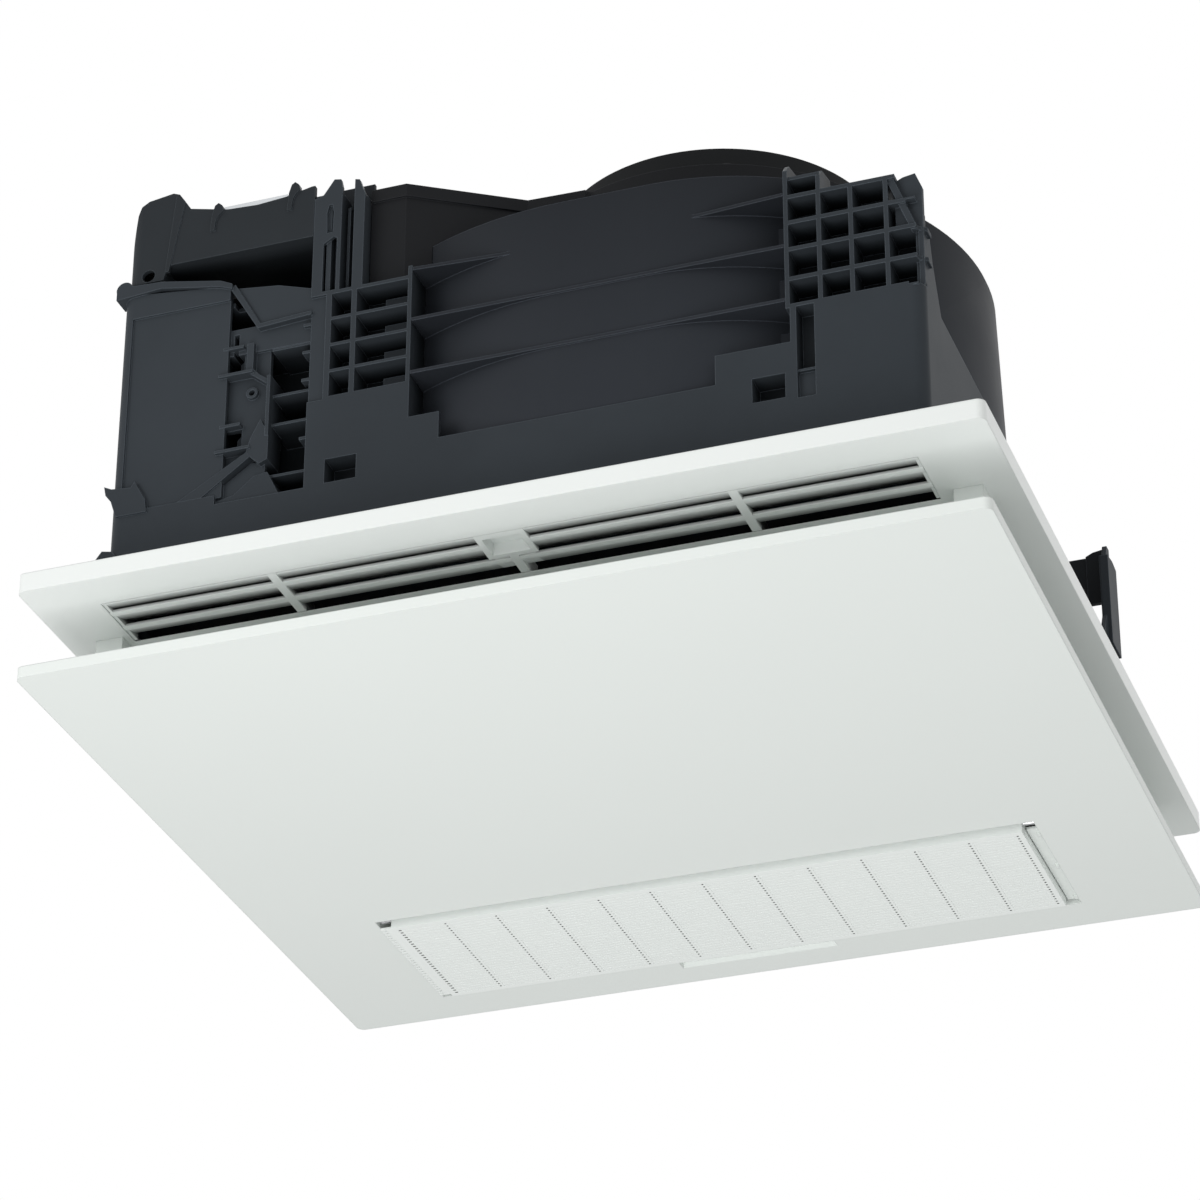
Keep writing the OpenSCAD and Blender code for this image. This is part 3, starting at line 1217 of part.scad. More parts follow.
module frame_screws() {
    color([0.72, 0.72, 0.74])
    for (p = frame_screw_spots)
        translate([p[0], p[1], -frame_t]) screw(3.8, 1.8, frame_t + floor_t + 3, false);
}

flange_t = 2.5;
collar_x = box_x0;

module duct_collar() {
    color([0.75, 0.76, 0.78])
    translate([collar_x, duct_y, duct_z]) rotate([0, -90, 0]) difference() {
        union() {
            tube(duct_r + 11, duct_r - 1.5, flange_t);
            tube(duct_r, duct_r - 1.5, duct_len);
        }
        for (a = [45:90:315]) rotate(a) translate([duct_r + 7, 0, -1]) cylinder(r = screw_r + fit, h = 6);
        for (s = [-1, 1]) translate([0, s * duct_r, flap_out]) rotate([90, 0, 0])
            cylinder(r = flap_pin_r, h = 8, center = true);
    }
}

module duct_screws() {
    color([0.72, 0.72, 0.74])
    for (a = [45:90:315]) translate([collar_x - flange_t, duct_y, duct_z]) rotate([0, -90, 0]) rotate(a)
        translate([duct_r + 7, 0, 0]) {
            cylinder(r = 3.6, h = 1.8);
            translate([0, 0, -flange_t - wall - 1])
                cylinder(r = screw_r - 0.35, h = flange_t + wall + 1 + eps);
        }
}

flap_out = 22;
flap_pin_r = 1.5;
flap_x = collar_x - flap_out;

module backdraft_flap() {
    flap_r = duct_r - 1.5 - 1;
    color([0.66, 0.68, 0.7])
    translate([flap_x, duct_y, duct_z]) difference() {
        union() {
            rotate([0, 90, 0]) translate([0, 0, -0.6]) cylinder(r = flap_r, h = 1.2);
            rotate([90, 0, 0]) cylinder(r = 3, h = 2 * flap_r - 8, center = true);
            // weight that swings the flap shut
            box(-2.6, 0, -18, 18, -flap_r + 7, -flap_r + 15);
        }
        rotate([90, 0, 0]) cylinder(r = flap_pin_r + run_gap, h = 2 * flap_r + 2, center = true);
    }
}

module flap_pin() {
    color([0.78, 0.79, 0.8])
    translate([flap_x, duct_y, duct_z]) rotate([90, 0, 0])
        cylinder(r = flap_pin_r, h = 2 * duct_r, center = true);
}

damper_x = box_x1 - 4;
damper_z = exhaust_top - wall - 4.5;
damper_pin_r = 2;

module vent_damper() {
    y0 = box_y0 + wall + 1;
    y1 = box_y1 - wall - 1;
    color([0.24, 0.25, 0.27])
    union() {
        box(box_x1 - 2.5, box_x1 - 0.6, y0 + 1, y1 - 1, scroll_top + 3.5, damper_z);
        translate([damper_x, y0, damper_z]) rotate([-90, 0, 0]) cylinder(r = 3.5, h = y1 - y0);
        translate([damper_x, box_y0 + 0.5, damper_z]) rotate([-90, 0, 0])
            cylinder(r = damper_pin_r, h = box_y1 - box_y0 + 4);
    }
}

module damper_motor() {
    size = 26;
    color([0.85, 0.86, 0.84])
    difference() {
        box(damper_x - size / 2, damper_x + size / 2, box_y1, box_y1 + 18, damper_z - size + 6, damper_z + 6);
        translate([damper_x, box_y1 - 1, damper_z]) rotate([-90, 0, 0])
            cylinder(r = damper_pin_r + run_gap, h = 8);
    }
}

// ------------ heater

heater_x0 = -100;
heater_x1 = -70;
heater_y0 = channel_y0 + wall + fit;
heater_y1 = chamber_y1 - wall - fit;
core_z0 = deck_z1 + 6;
core_z1 = chamber_top - 8;
core_y0 = heater_y0 + 8;
core_y1 = heater_y1 - 8;
core_x0 = heater_x0 + 6;
core_x1 = heater_x1 - 6;
bar_count = 3;
bar_h = 5;

module heater_frame() {
    color([0.82, 0.8, 0.74])
    difference() {
        box(heater_x0, heater_x1, heater_y0, heater_y1, deck_z1 + fit, top_plate_z0 - fit);
        box(heater_x0 - 1, heater_x1 + 1, core_y0, core_y1, core_z0, core_z1);
        box(heater_x0 - 1, heater_x1 + 1, core_y0, core_y1, core_z1 + 4, top_plate_z0 - 6);
        translate([heater_x0 + 15, core_y0 + 40, core_z1 - 1]) cylinder(r = 1.5, h = 6);
    }
}

module heater_core() {
    gap_h = (core_z1 - core_z0 - bar_count * bar_h) / (bar_count - 1);
    fin_pitch = 4;
    fins = floor((core_y1 - core_y0 - 8) / fin_pitch);
    color([0.74, 0.75, 0.77])
    union() {
        for (i = [0:bar_count - 1])
            box(core_x0, core_x1, core_y0, core_y1, core_z0 + i * (bar_h + gap_h),
                core_z0 + i * (bar_h + gap_h) + bar_h);
        for (i = [0:fins])
            box(core_x0 + 1, core_x1 - 1, core_y0 + 3 + i * fin_pitch, core_y0 + 3.8 + i * fin_pitch,
                core_z0 + 1, core_z1 - 1);
    }
}

module heater_terminals() {
    gap_h = (core_z1 - core_z0 - bar_count * bar_h) / (bar_count - 1);
    color([0.8, 0.66, 0.35])
    for (i = [0:bar_count - 1])
        box(core_x1, core_x1 + 8, core_y1 - 14, core_y1 - 6, core_z0 + i * (bar_h + gap_h) + 2,
            core_z0 + i * (bar_h + gap_h) + 3);
}

module thermal_fuse() {
    color([0.85, 0.85, 0.86])
    translate([heater_x0 + 15, core_y0 + 60, core_z1 + 4 + 2.5]) rotate([90, 0, 0]) {
        cylinder(r = 2.5, h = 14);
        translate([0, 0, -8]) cylinder(r = 0.8, h = 30);
    }
}

module thermostat() {
    color([0.2, 0.2, 0.22])
    translate([heater_x0 + 15, core_y0 + 85, core_z1 + 4]) {
        cylinder(r = 8, h = 7);
        for (s = [-1, 1]) translate([-3, s * 4 - 0.5, 7 - eps]) cube([6, 1, 5]);
    }
}

// ------------ electrics

board_z = electric_z0 + wall + 4;

module circuit_board() {
    color([0.2, 0.42, 0.26])
    translate([-side_shift, 0, 0])
    difference() {
        box(-178, -108, -172, -74, board_z, board_z + 1.6);
        for (p = board_spots) translate([p[0], p[1], board_z - 1]) cylinder(r = board_screw_r + fit, h = 4);
    }
}

module board_screws() {
    color([0.72, 0.72, 0.74])
    translate([-side_shift, 0, 0])
    for (p = board_spots) translate([p[0], p[1], board_z + 1.6]) {
        cylinder(r = 2.4, h = 1.4);
        translate([0, 0, -5]) cylinder(r = board_screw_r - 0.05, h = 5 + eps);
    }
}

module transformer() {
    color([0.85, 0.75, 0.35])
    translate([-side_shift, 0, 0])
    union() {
        box(-172, -148, -166, -142, board_z + 1.6, board_z + 12);
        box(-169, -151, -169, -139, board_z + 1.6, board_z + 9);
    }
}

module relays() {
    color([0.15, 0.25, 0.5])
    translate([-side_shift, 0, 0])
    for (i = [0:3]) box(-140, -124, -166 + i * 16, -154 + i * 16, board_z + 1.6, board_z + 13);
}

module capacitors() {
    color([0.15, 0.15, 0.17])
    translate([-side_shift, 0, 0])
    for (p = [[-152, -127], [-152, -113]])
        translate([p[0], p[1], board_z + 1.6]) cylinder(r = 5.5, h = 13);
}

module terminal_block() {
    color([0.9, 0.9, 0.88])
    translate([-side_shift, 0, 0])
    difference() {
        box(-177, -163, -112, -88, board_z + 1.6, board_z + 12);
        for (i = [0:2]) translate([-170, -108 + i * 8, board_z + 6]) cylinder(r = 1.8, h = 10);
    }
}

module cord_gland() {
    color([0.15, 0.15, 0.16])
    translate([-side_shift, 0, 0])
    translate([-201, gland_y, gland_z]) rotate([0, 90, 0]) difference() {
        union() {
            translate([0, 0, -7]) cylinder(r = gland_r + 3, h = 5.6);
            translate([0, 0, -3]) cylinder(r = gland_r, h = 22);
        }
        translate([0, 0, -10]) cylinder(r = gland_r - 3, h = 40);
    }
}

lid_screw_spots = [[-176, -70], [-110, -70]];

module control_lid() {
    lid_t = 1;
    color([0.8, 0.82, 0.84])
    translate([-side_shift, 0, 0])
    difference() {
        union() {
            box(-180, -104.7 + 2, near_y + wall + fit, electric_y1, exhaust_top, exhaust_top + lid_t);
            box(-152, -118, near_y + wall + fit, near_y + wall + fit + 1.2, exhaust_top, exhaust_top + 5.2);
        }
        for (p = lid_screw_spots)
            translate([p[0], p[1], exhaust_top - 1]) cylinder(r = screw_r + fit, h = 10);
    }
}

module lid_screws() {
    color([0.72, 0.72, 0.74])
    translate([-side_shift, 0, 0])
    for (p = lid_screw_spots) translate([p[0], p[1], exhaust_top + 1]) screw(3.6, 1.8, 7, true);
}

module room_sensor() {
    color([0.9, 0.9, 0.9])
    translate([-60, body_y - wall - 12, deck_z0 - wall - 14]) union() {
        cube([10, 12, 14]);
        translate([5, 0, 5]) rotate([90, 0, 0]) cylinder(r = 2.2, h = 12);
    }
}

frame_panel();
outlet_grille();
cover_panel();
filter_grille();
filter_net();
filter_pins();
intake_seal();
main_casing();
outlet_duct();
fan_deck();
bell_mouth();
scroll_casing();
exhaust_casing();
duct_box();
control_box();
exhaust_dome();
circulation_impeller();
exhaust_impeller();
motor_can();
motor_end_cap();
stator();
rotor();
motor_shaft();
bearings();
motor_bracket();
rubber_mounts();
motor_screws();
motor_nuts();
impeller_nuts();
heater_frame();
heater_core();
heater_terminals();
thermal_fuse();
thermostat();
duct_collar();
duct_screws();
backdraft_flap();
flap_pin();
vent_damper();
damper_motor();
control_lid();
circuit_board();
board_screws();
transformer();
relays();
capacitors();
terminal_block();
cord_gland();
room_sensor();
frame_screws();
casing_screws();
dome_screws();
lid_screws();
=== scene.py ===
# %% [markdown]
# # A ceiling mounted fan heater
# The unit hangs in a ceiling opening: a dark moulded casing with the fans is above the ceiling, and a white
# frame with a slotted outlet and a spaced cover panel is below it. The solids come packed from the CAD step,
# and this lesson gives them their finishes, adds what is finer than the solids, and sets camera and light.

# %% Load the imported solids
import math
import bpy
import numpy as np
from mathutils import Matrix, Vector


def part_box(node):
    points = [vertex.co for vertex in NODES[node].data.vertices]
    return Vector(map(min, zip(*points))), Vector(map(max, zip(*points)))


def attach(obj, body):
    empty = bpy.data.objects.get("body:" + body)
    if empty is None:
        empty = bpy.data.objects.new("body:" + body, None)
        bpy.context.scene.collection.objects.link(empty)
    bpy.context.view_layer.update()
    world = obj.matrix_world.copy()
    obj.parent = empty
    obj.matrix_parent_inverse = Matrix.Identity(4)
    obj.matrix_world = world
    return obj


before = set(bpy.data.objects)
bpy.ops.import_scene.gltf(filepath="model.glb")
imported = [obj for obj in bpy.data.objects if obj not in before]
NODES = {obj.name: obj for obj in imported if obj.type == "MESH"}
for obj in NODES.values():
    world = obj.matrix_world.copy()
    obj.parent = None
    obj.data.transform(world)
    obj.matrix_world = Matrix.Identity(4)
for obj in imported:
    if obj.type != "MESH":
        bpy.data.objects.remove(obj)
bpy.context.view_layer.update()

MM = 0.001
print("solids loaded:", len(NODES))

# %% [markdown]
# ## Camera
# The photograph looks up at the unit from below, in front and to the right. Its straight edges fix the
# camera: its angles, its place in millimetres and its focal length in pixels of the photograph were fitted
# to them.

# %% Camera
scene = bpy.context.scene
AZIMUTH, ELEVATION, ROLL = 19.59, -29.71, 0.13
CAMERA_AT = np.array([617.33, -1791.58, -1023.78]) * MM
FOCAL_PX, FRAME_PX, SENSOR_MM = 4343.8, 1200.0, 36.0


def camera_axes(azimuth, elevation, roll):
    """Right, up and back directions of a camera that orbits the origin, rolled about its view line."""
    a, e, r = np.radians([azimuth, elevation, roll])
    back = np.array([np.sin(a) * np.cos(e), -np.cos(a) * np.cos(e), np.sin(e)])
    right = np.cross([0.0, 0.0, 1.0], back)
    right /= np.linalg.norm(right)
    up = np.cross(back, right)
    return np.cos(r) * right + np.sin(r) * up, -np.sin(r) * right + np.cos(r) * up, back


right, up, back = camera_axes(AZIMUTH, ELEVATION, ROLL)
camera_data = bpy.data.cameras.new("camera")
camera_data.sensor_width = SENSOR_MM
camera_data.sensor_fit = "HORIZONTAL"
camera_data.lens = FOCAL_PX / FRAME_PX * SENSOR_MM
camera_data.clip_start = 0.05
camera_data.clip_end = 50.0
camera = bpy.data.objects.new("camera", camera_data)
scene.collection.objects.link(camera)
camera.matrix_world = Matrix([[right[i], up[i], back[i], CAMERA_AT[i]] for i in range(3)] + [[0, 0, 0, 1]])
scene.camera = camera
print("lens", round(camera_data.lens, 2), "mm")

# %% [markdown]
# ## Light
# The unit is shown on plain white under broad soft light. The world gives an even level from all sides, and
# shows as white to the camera. Large area lamps add the slow gradients: one from the front left, one low, so
# that the undersides stay bright, a weak one from the right for the casing's right side, and one high behind
# for the upper edges.

# %% World and lamps
scene.view_settings.view_transform = "Standard"


def area_lamp(name, at, aim, size, power):
    """A soft square lamp at a point, turned towards another point; sizes in metres, power in watts."""
    data = bpy.data.lights.new(name, "AREA")
    data.shape = "RECTANGLE"
    data.size = size
    data.size_y = size
    data.energy = power
    lamp = bpy.data.objects.new(name, data)
    scene.collection.objects.link(lamp)
    turn = (Vector(at) - Vector(aim)).to_track_quat("Z", "Y")
    lamp.matrix_world = Matrix.Translation(at) @ turn.to_matrix().to_4x4()


WORLD_LEVEL = 0.56
LAMPS = [
    ("lamp_front", (-1.5, -1.9, 0.3), (0, 0, 0.05), 1.2, 10.0),
    ("lamp_below", (-0.1, -0.85, -0.95), (0, -0.1, -0.05), 0.7, 6.7),
    ("lamp_right", (2.0, -1.1, 0.5), (0, 0, 0.1), 1.0, 1.6),
    ("lamp_top", (-0.6, 1.3, 1.7), (0, 0.1, 0.1), 1.4, 16.0),
]
for lamp_row in LAMPS:
    area_lamp(*lamp_row)
print("lamps:", ", ".join(row[0] for row in LAMPS))

# %% [markdown]
# ## Writing shader maths as Python
# A finish is easier to read as a formula than as a net of boxes. One small class wraps a socket and overloads
# the operators, so `0.4 + 0.1 * grain` adds the Math nodes itself.

# %% Shader helpers
class Wire:
    """One output socket in a node tree; + - * ** between wires or numbers add Math nodes."""

    def __init__(self, tree, socket):
        self.tree, self.socket = tree, socket

    def math(self, operation, a, b=0.0):
        """Adds one Math node with two inputs, each a wire or a number."""
        node = self.tree.nodes.new("ShaderNodeMath")
        node.operation = operation
        for index, value in enumerate((a, b)):
            plug(self.tree, value, node.inputs[index])
        return Wire(self.tree, node.outputs[0])

    def __add__(self, other): return self.math("ADD", self, other)
    def __radd__(self, other): return self.math("ADD", other, self)
    def __sub__(self, other): return self.math("SUBTRACT", self, other)
    def __rsub__(self, other): return self.math("SUBTRACT", other, self)
    def __mul__(self, other): return self.math("MULTIPLY", self, other)
    def __rmul__(self, other): return self.math("MULTIPLY", other, self)
    def __pow__(self, other): return self.math("POWER", self, other)


def plug(tree, value, socket):
    """Links a wire to a socket, or writes a plain value on it."""
    if isinstance(value, Wire):
        tree.links.new(value.socket, socket)
    else:
        socket.default_value = value


class Finish:
    """A material with one Principled shader; node() adds any other node and returns its output as a wire."""

    def __init__(self, name, color, roughness, metallic=0.0, **fixed):
        self.material = bpy.data.materials.new(name)
        self.material.use_nodes = True
        self.tree = self.material.node_tree
        self.shader = self.tree.nodes["Principled BSDF"]
        self.set("Base Color", (*color, 1.0))
        self.set("Roughness", roughness)
        self.set("Metallic", metallic)
        for socket, value in fixed.items():
            self.set(socket.replace("_", " "), value)

    def set(self, socket, value):
        """Sets one socket of the Principled shader to a wire or a plain value."""
        plug(self.tree, value, self.shader.inputs[socket])

    def node(self, kind, settings=(), output=0, **inputs):
        """Adds any node. Inputs go by their name, with _ for a space, or by number as in0, in1."""
        node = self.tree.nodes.new("ShaderNode" + kind)
        for key, value in dict(settings).items():
            setattr(node, key, value)
        for key, value in inputs.items():
            by_number = key.startswith("in") and key[2:].isdigit()
            plug(self.tree, value, node.inputs[int(key[2:]) if by_number else key.replace("_", " ")])
        return Wire(self.tree, node.outputs[output])

    def place(self):
        """Object coordinates: the same as millimetres / 1000 in the unit's own frame."""
        return self.node("TexCoord", output="Object")

    def noise(self, scale, detail=3.0, roughness=0.5, stretch=None):
        """Smooth noise 0..1 over object coordinates; stretch scales each axis, for rolled grain."""
        vector = self.place()
        if stretch:
            vector = self.node("Mapping", Vector=vector, Scale=stretch)
        settings = {"Vector": vector, "Scale": scale, "Detail": detail, "Roughness": roughness}
        return self.node("TexNoise", output="Fac", **settings)

    def ramp(self, value, low, high, out_low=0.0, out_high=1.0):
        """Maps a wire's range low..high linearly to out_low..out_high and clamps it there."""
        return self.node("MapRange", {"clamp": True}, Value=value, **{"From_Min": low, "From_Max": high,
                         "To_Min": out_low, "To_Max": out_high})

    def mix(self, factor, dark, light):
        """Colour between dark (factor 0) and light (factor 1); both are colours or wires."""
        node = self.tree.nodes.new("ShaderNodeMix")
        node.data_type = "RGBA"
        plug(self.tree, factor, node.inputs[0])
        plug(self.tree, dark if isinstance(dark, Wire) else (*dark, 1.0), node.inputs[6])
        plug(self.tree, light if isinstance(light, Wire) else (*light, 1.0), node.inputs[7])
        return Wire(self.tree, node.outputs[2])

    def bump(self, height, strength, distance, edge=0.0):
        """Bump from a height wire; edge rounds hard corners with the Bevel node, in metres."""
        inputs = {"Strength": strength, "Distance": distance, "Height": height}
        if edge:
            inputs["Normal"] = self.node("Bevel", {"samples": 6}, Radius=edge)
        self.set("Normal", self.node("Bump", **inputs))
        return self


def shade(color, gain):
    """A colour made lighter or darker by one factor."""
    return tuple(min(1.0, channel * gain) for channel in color)


# %% [markdown]
# ## Background
# The picture stands on plain white. One Background node is full white where the camera looks at it, a
# surface mirrors it or a clear part shows it, and only WORLD_LEVEL as a light, so that the white parts still
# show their shading. An image of a studio would also work, but a plain level keeps the whites even.

# %% World colour
world = bpy.data.worlds.new("studio")
scene.world = world
world.use_nodes = True
world_tree = world.node_tree
world_tree.nodes.clear()
world_out = world_tree.nodes.new("ShaderNodeOutputWorld")
light_path = world_tree.nodes.new("ShaderNodeLightPath")
seen = Wire(world_tree, light_path.outputs["Is Camera Ray"])
glossy = Wire(world_tree, light_path.outputs["Is Glossy Ray"])
through = Wire(world_tree, light_path.outputs["Is Transmission Ray"])
white_share = seen.math("MAXIMUM", seen, seen.math("MAXIMUM", glossy, through))
even = world_tree.nodes.new("ShaderNodeBackground")
even.inputs["Color"].default_value = (1.0, 1.0, 1.0, 1.0)
plug(world_tree, WORLD_LEVEL + (1.0 - WORLD_LEVEL) * white_share, even.inputs["Strength"])
world_tree.links.new(even.outputs[0], world_out.inputs["Surface"])
print("world level", WORLD_LEVEL)

# %% [markdown]
# ## Floor
# A unit like this hangs far above the floor. A pale floor far below closes the room for views from above and
# adds a soft bounce to the undersides.

# %% Floor
FLOOR_Z, FLOOR_HALF = -3.6, 60.0
floor_mesh = bpy.data.meshes.new("floor")
floor_corners = [(x * FLOOR_HALF, y * FLOOR_HALF, FLOOR_Z) for x, y in ((-1, -1), (1, -1), (1, 1), (-1, 1))]
floor_mesh.from_pydata(floor_corners, [], [(0, 1, 2, 3)])
floor = bpy.data.objects.new("floor", floor_mesh)
scene.collection.objects.link(floor)
floor_finish = Finish("pale_floor", (0.93, 0.93, 0.93), 0.9)
floor_grain = floor_finish.noise(3.0, 2.0)
floor_finish.set("Base Color", floor_finish.mix(floor_grain, (0.915, 0.915, 0.915), (0.945, 0.945, 0.945)))
floor_mesh.materials.append(floor_finish.material)
print("floor at", FLOOR_Z, "m")

# %% [markdown]
# ## Finishes
# The white parts are smooth injection mouldings with a faint orange peel, the casing is a dark grey satin
# moulding with a fine spark-eroded grain. Their colour drifts slightly, because large mouldings cool
# unevenly. A Bevel node rounds the corners' shading by up to a millimetre, as a mould does. Where the
# rounded and the flat normal differ there is an edge, and the dark finishes are paler there: a painted
# highlight for the light lines that those edges catch. Between the slats, in the casing's recesses and up the
# scroll the real unit is darker than these lamps make it, so the finishes are darker there: painted shade.
# More lamps and blockers could do both, but would shade the white parts too.

# %% Moulded plastics
# Places in metres that bound the painted shade: the casing's near plane, the inner side of its far and side
# walls, and the finger pocket of the grille, which is left unshaded. The gains multiply a finish's own colour:
# those below 1 are painted shade, and the edge gain is a painted highlight.
NEAR_Y, FAR_INSIDE_Y, SIDE_INSIDE_X = -0.188, 0.184, 0.2005
NEAR_FADE, BLEND = (0.004, 0.013), 0.001
POCKET_X, POCKET_HALF = -0.002, 0.0095
SLAT_SHADE_GAIN, SLAT_SHADE_POWER = 0.06, 0.55
RECESS_SHADE_GAIN, UPWARD_SHADE_GAIN, EDGE_HIGHLIGHT_GAIN = 0.25, 0.68, 3.4
RING_HALF, RING_HEIGHT = 0.0015, 0.001


def white_moulding(name, color, roughness, peel, edge=0.0009, slat_shade_heights=None):
    """White plastic: slow drift, faint orange peel, rounded corners; painted shade that darkens with height
    between a (low z, high z) pair, as between the slats.
    """
    finish = Finish(name, color, roughness, IOR=1.46)
    drift = finish.noise(6.0, 2.0)
    body = finish.mix(drift, shade(color, 0.985), shade(color, 1.01))
    # Painted shade between the slats: the colour darkens with height, except in the finger pocket.
    if slat_shade_heights:
        x = finish.node("SeparateXYZ", output="X", Vector=finish.place())
        beside = finish.ramp(x.math("ABSOLUTE", x - POCKET_X), POCKET_HALF, POCKET_HALF + BLEND)
        slat_shade = height_share(finish, *slat_shade_heights) ** SLAT_SHADE_POWER
        body = finish.mix(beside * slat_shade, body, shade(color, SLAT_SHADE_GAIN))
    finish.set("Base Color", body)
    fine = finish.noise(400.0, 2.0)
    finish.set("Roughness", finish.ramp(fine, 0.3, 0.7, roughness - 0.02, roughness + 0.03))
    wave = finish.noise(120.0, 2.0)
    return finish.bump(wave, peel, 0.0002, edge=edge).material


def dark_moulding(name, color, roughness, edge=0.0007, gloss=0.08, recess_shade=0.0, upward_shade=None, rings=None):
    """Dark plastic: fine grain, flow clouds; painted highlight on edges, painted shade on recessed faces and
    with height.
    """
    finish = Finish(name, color, roughness, IOR=1.5, Specular_IOR_Level=gloss)
    clouds = finish.noise(9.0, 4.0, 0.6)
    body = finish.mix(finish.ramp(clouds, 0.3, 0.7), shade(color, 0.9), shade(color, 1.12))
    # Painted shade: the casing's recessed faces are darker in colour.
    if recess_shade:
        body = finish.mix(recess_shade * recess_shade_share(finish), body, shade(color, RECESS_SHADE_GAIN))
    # Painted shade: the colour darkens with height.
    if upward_shade:
        body = finish.mix(height_share(finish, *upward_shade), body, shade(color, UPWARD_SHADE_GAIN))
    # Painted highlight: the colour turns paler at edges, where the rounded normal leaves the flat one.
    rounded = finish.node("Bevel", {"samples": 4}, Radius=edge)
    flat = finish.node("NewGeometry", output="Normal")
    same = finish.node("VectorMath", {"operation": "DOT_PRODUCT"}, output="Value", in0=rounded, in1=flat)
    edge_highlight = finish.ramp(1.0 - same, 0.01, 0.2, 0.0, 0.9)
    finish.set("Base Color", finish.mix(edge_highlight, body, shade(color, EDGE_HIGHLIGHT_GAIN)))
    grain = finish.noise(1400.0, 2.0, 0.6)
    finish.set("Roughness", finish.ramp(clouds, 0.3, 0.7, roughness - 0.05, roughness + 0.06))
    if rings:
        rounded = ring_relief(finish, rounded, *rings)
    height = {"Strength": 0.25, "Distance": 0.0001, "Height": grain, "Normal": rounded}
    finish.set("Normal", finish.node("Bump", **height))
    return finish.material


def recess_shade_share(finish):
    """Share of painted shade: 1 on faces behind the casing's near plane and within its side and far walls, 0
    elsewhere.
    """
    x = finish.node("SeparateXYZ", output="X", Vector=finish.place())
    y = finish.node("SeparateXYZ", output="Y", Vector=finish.place())
    side = x.math("ABSOLUTE", x)
    behind = finish.ramp(y, NEAR_Y + NEAR_FADE[0], NEAR_Y + NEAR_FADE[1])
    within = finish.ramp(side, SIDE_INSIDE_X, SIDE_INSIDE_X + BLEND, 1.0, 0.0)
    return behind * within * finish.ramp(y, FAR_INSIDE_Y, FAR_INSIDE_Y + BLEND, 1.0, 0.0)


def ring_relief(finish, normal, centre, radii):
    """Raised rings on a top face: height = sum of clamp(1 - |r - radius| / RING_HALF) over the radii."""
    x = finish.node("SeparateXYZ", output="X", Vector=finish.place()) - centre[0]
    y = finish.node("SeparateXYZ", output="Y", Vector=finish.place()) - centre[1]
    radius = (x * x + y * y) ** 0.5
    offsets = [radius.math("ABSOLUTE", radius - r) for r in radii]
    height = sum(finish.ramp(offset, 0.0, RING_HALF, 1.0, 0.0) for offset in offsets)
    return finish.node("Bump", Strength=1.0, Distance=RING_HEIGHT, Height=height, Normal=normal)


def height_share(finish, low, high):
    """0 below the height low and 1 above the height high, in metres over the ceiling's lower face."""
    return finish.ramp(finish.node("SeparateXYZ", output="Z", Vector=finish.place()), low, high)


FRAME_WHITE = white_moulding("frame_white", (0.9, 0.932, 0.912), 0.3, 0.02)
GRILLE_WHITE = white_moulding("grille_white", (0.92, 0.955, 0.935), 0.3, 0.0, edge=0.00025,
                              slat_shade_heights=(-0.0097, -0.006))
COVER_WHITE = white_moulding("cover_white", (0.845, 0.887, 0.858), 0.4, 0.02)
FILTER_WHITE = white_moulding("filter_white", (0.93, 0.97, 0.945), 0.45, 0.0, edge=0.0002)
CASING_DARK = dark_moulding("casing_dark", (0.036, 0.0425, 0.0495), 0.48, recess_shade=0.85)
# Painted shade: the control box, scroll, upper casing and dome get darker colours than the main casing, for
# the shade higher up the unit.
CONTROL_DARK = dark_moulding("control_dark", (0.024, 0.028, 0.032), 0.48, recess_shade=0.75)
SCROLL_DARK = dark_moulding("scroll_dark", (0.029, 0.033, 0.04), 0.48, upward_shade=(0.05, 0.17))
UPPER_DARK = dark_moulding("upper_dark", (0.013, 0.0138, 0.0155), 0.5)
DOME_DARK = dark_moulding("dome_dark", (0.012, 0.013, 0.014), 0.5,
                          rings=((0.062, -0.05), (0.03, 0.058, 0.079)))
FAN_DARK = dark_moulding("fan_dark", (0.02, 0.021, 0.023), 0.4, edge=0.0004)
print("materials so far:", len(bpy.data.materials))

# %% [markdown]
# The motor, the duct collar and the lid are rolled sheet, and screws and shafts are drawn steel. Rolling and
# drawing leave fine parallel streaks, so the noise is squeezed across them before it drives roughness and
# bump. An image of brushed metal could do it too, but would need its own map on every part.

# %% Metals
def sheet_metal(name, color, roughness, grain_stretch=(1.0, 30.0, 30.0)):
    """Rolled sheet: long fine streaks in roughness and bump, and faint zinc clouds in the colour."""
    finish = Finish(name, color, roughness, metallic=1.0)
    streak = finish.noise(60.0, 4.0, 0.6, stretch=grain_stretch)
    clouds = finish.noise(120.0, 2.0)
    finish.set("Base Color", finish.mix(clouds, shade(color, 0.9), shade(color, 1.05)))
    finish.set("Roughness", finish.ramp(streak, 0.25, 0.75, roughness - 0.08, roughness + 0.12))
    return finish.bump(streak, 0.1, 0.0001, edge=0.0003).material


ZINC = sheet_metal("zinc_sheet", (0.62, 0.64, 0.66), 0.35)
STEEL = sheet_metal("bright_steel", (0.66, 0.67, 0.68), 0.25)
ALUMINIUM = sheet_metal("bare_aluminium", (0.74, 0.75, 0.76), 0.32)
BLACKENED = sheet_metal("blackened_steel", (0.03, 0.03, 0.032), 0.45)
BRASS = sheet_metal("bare_brass", (0.72, 0.52, 0.2), 0.3)
COPPER = sheet_metal("lacquered_copper", (0.55, 0.28, 0.13), 0.35)
print("materials so far:", len(bpy.data.materials))

# %% [markdown]
# Foam, rubber, the circuit board and the small electric parts are hidden inside the casing. They are dull and
# slightly uneven, so one function with a speckle of the right grain serves them all.

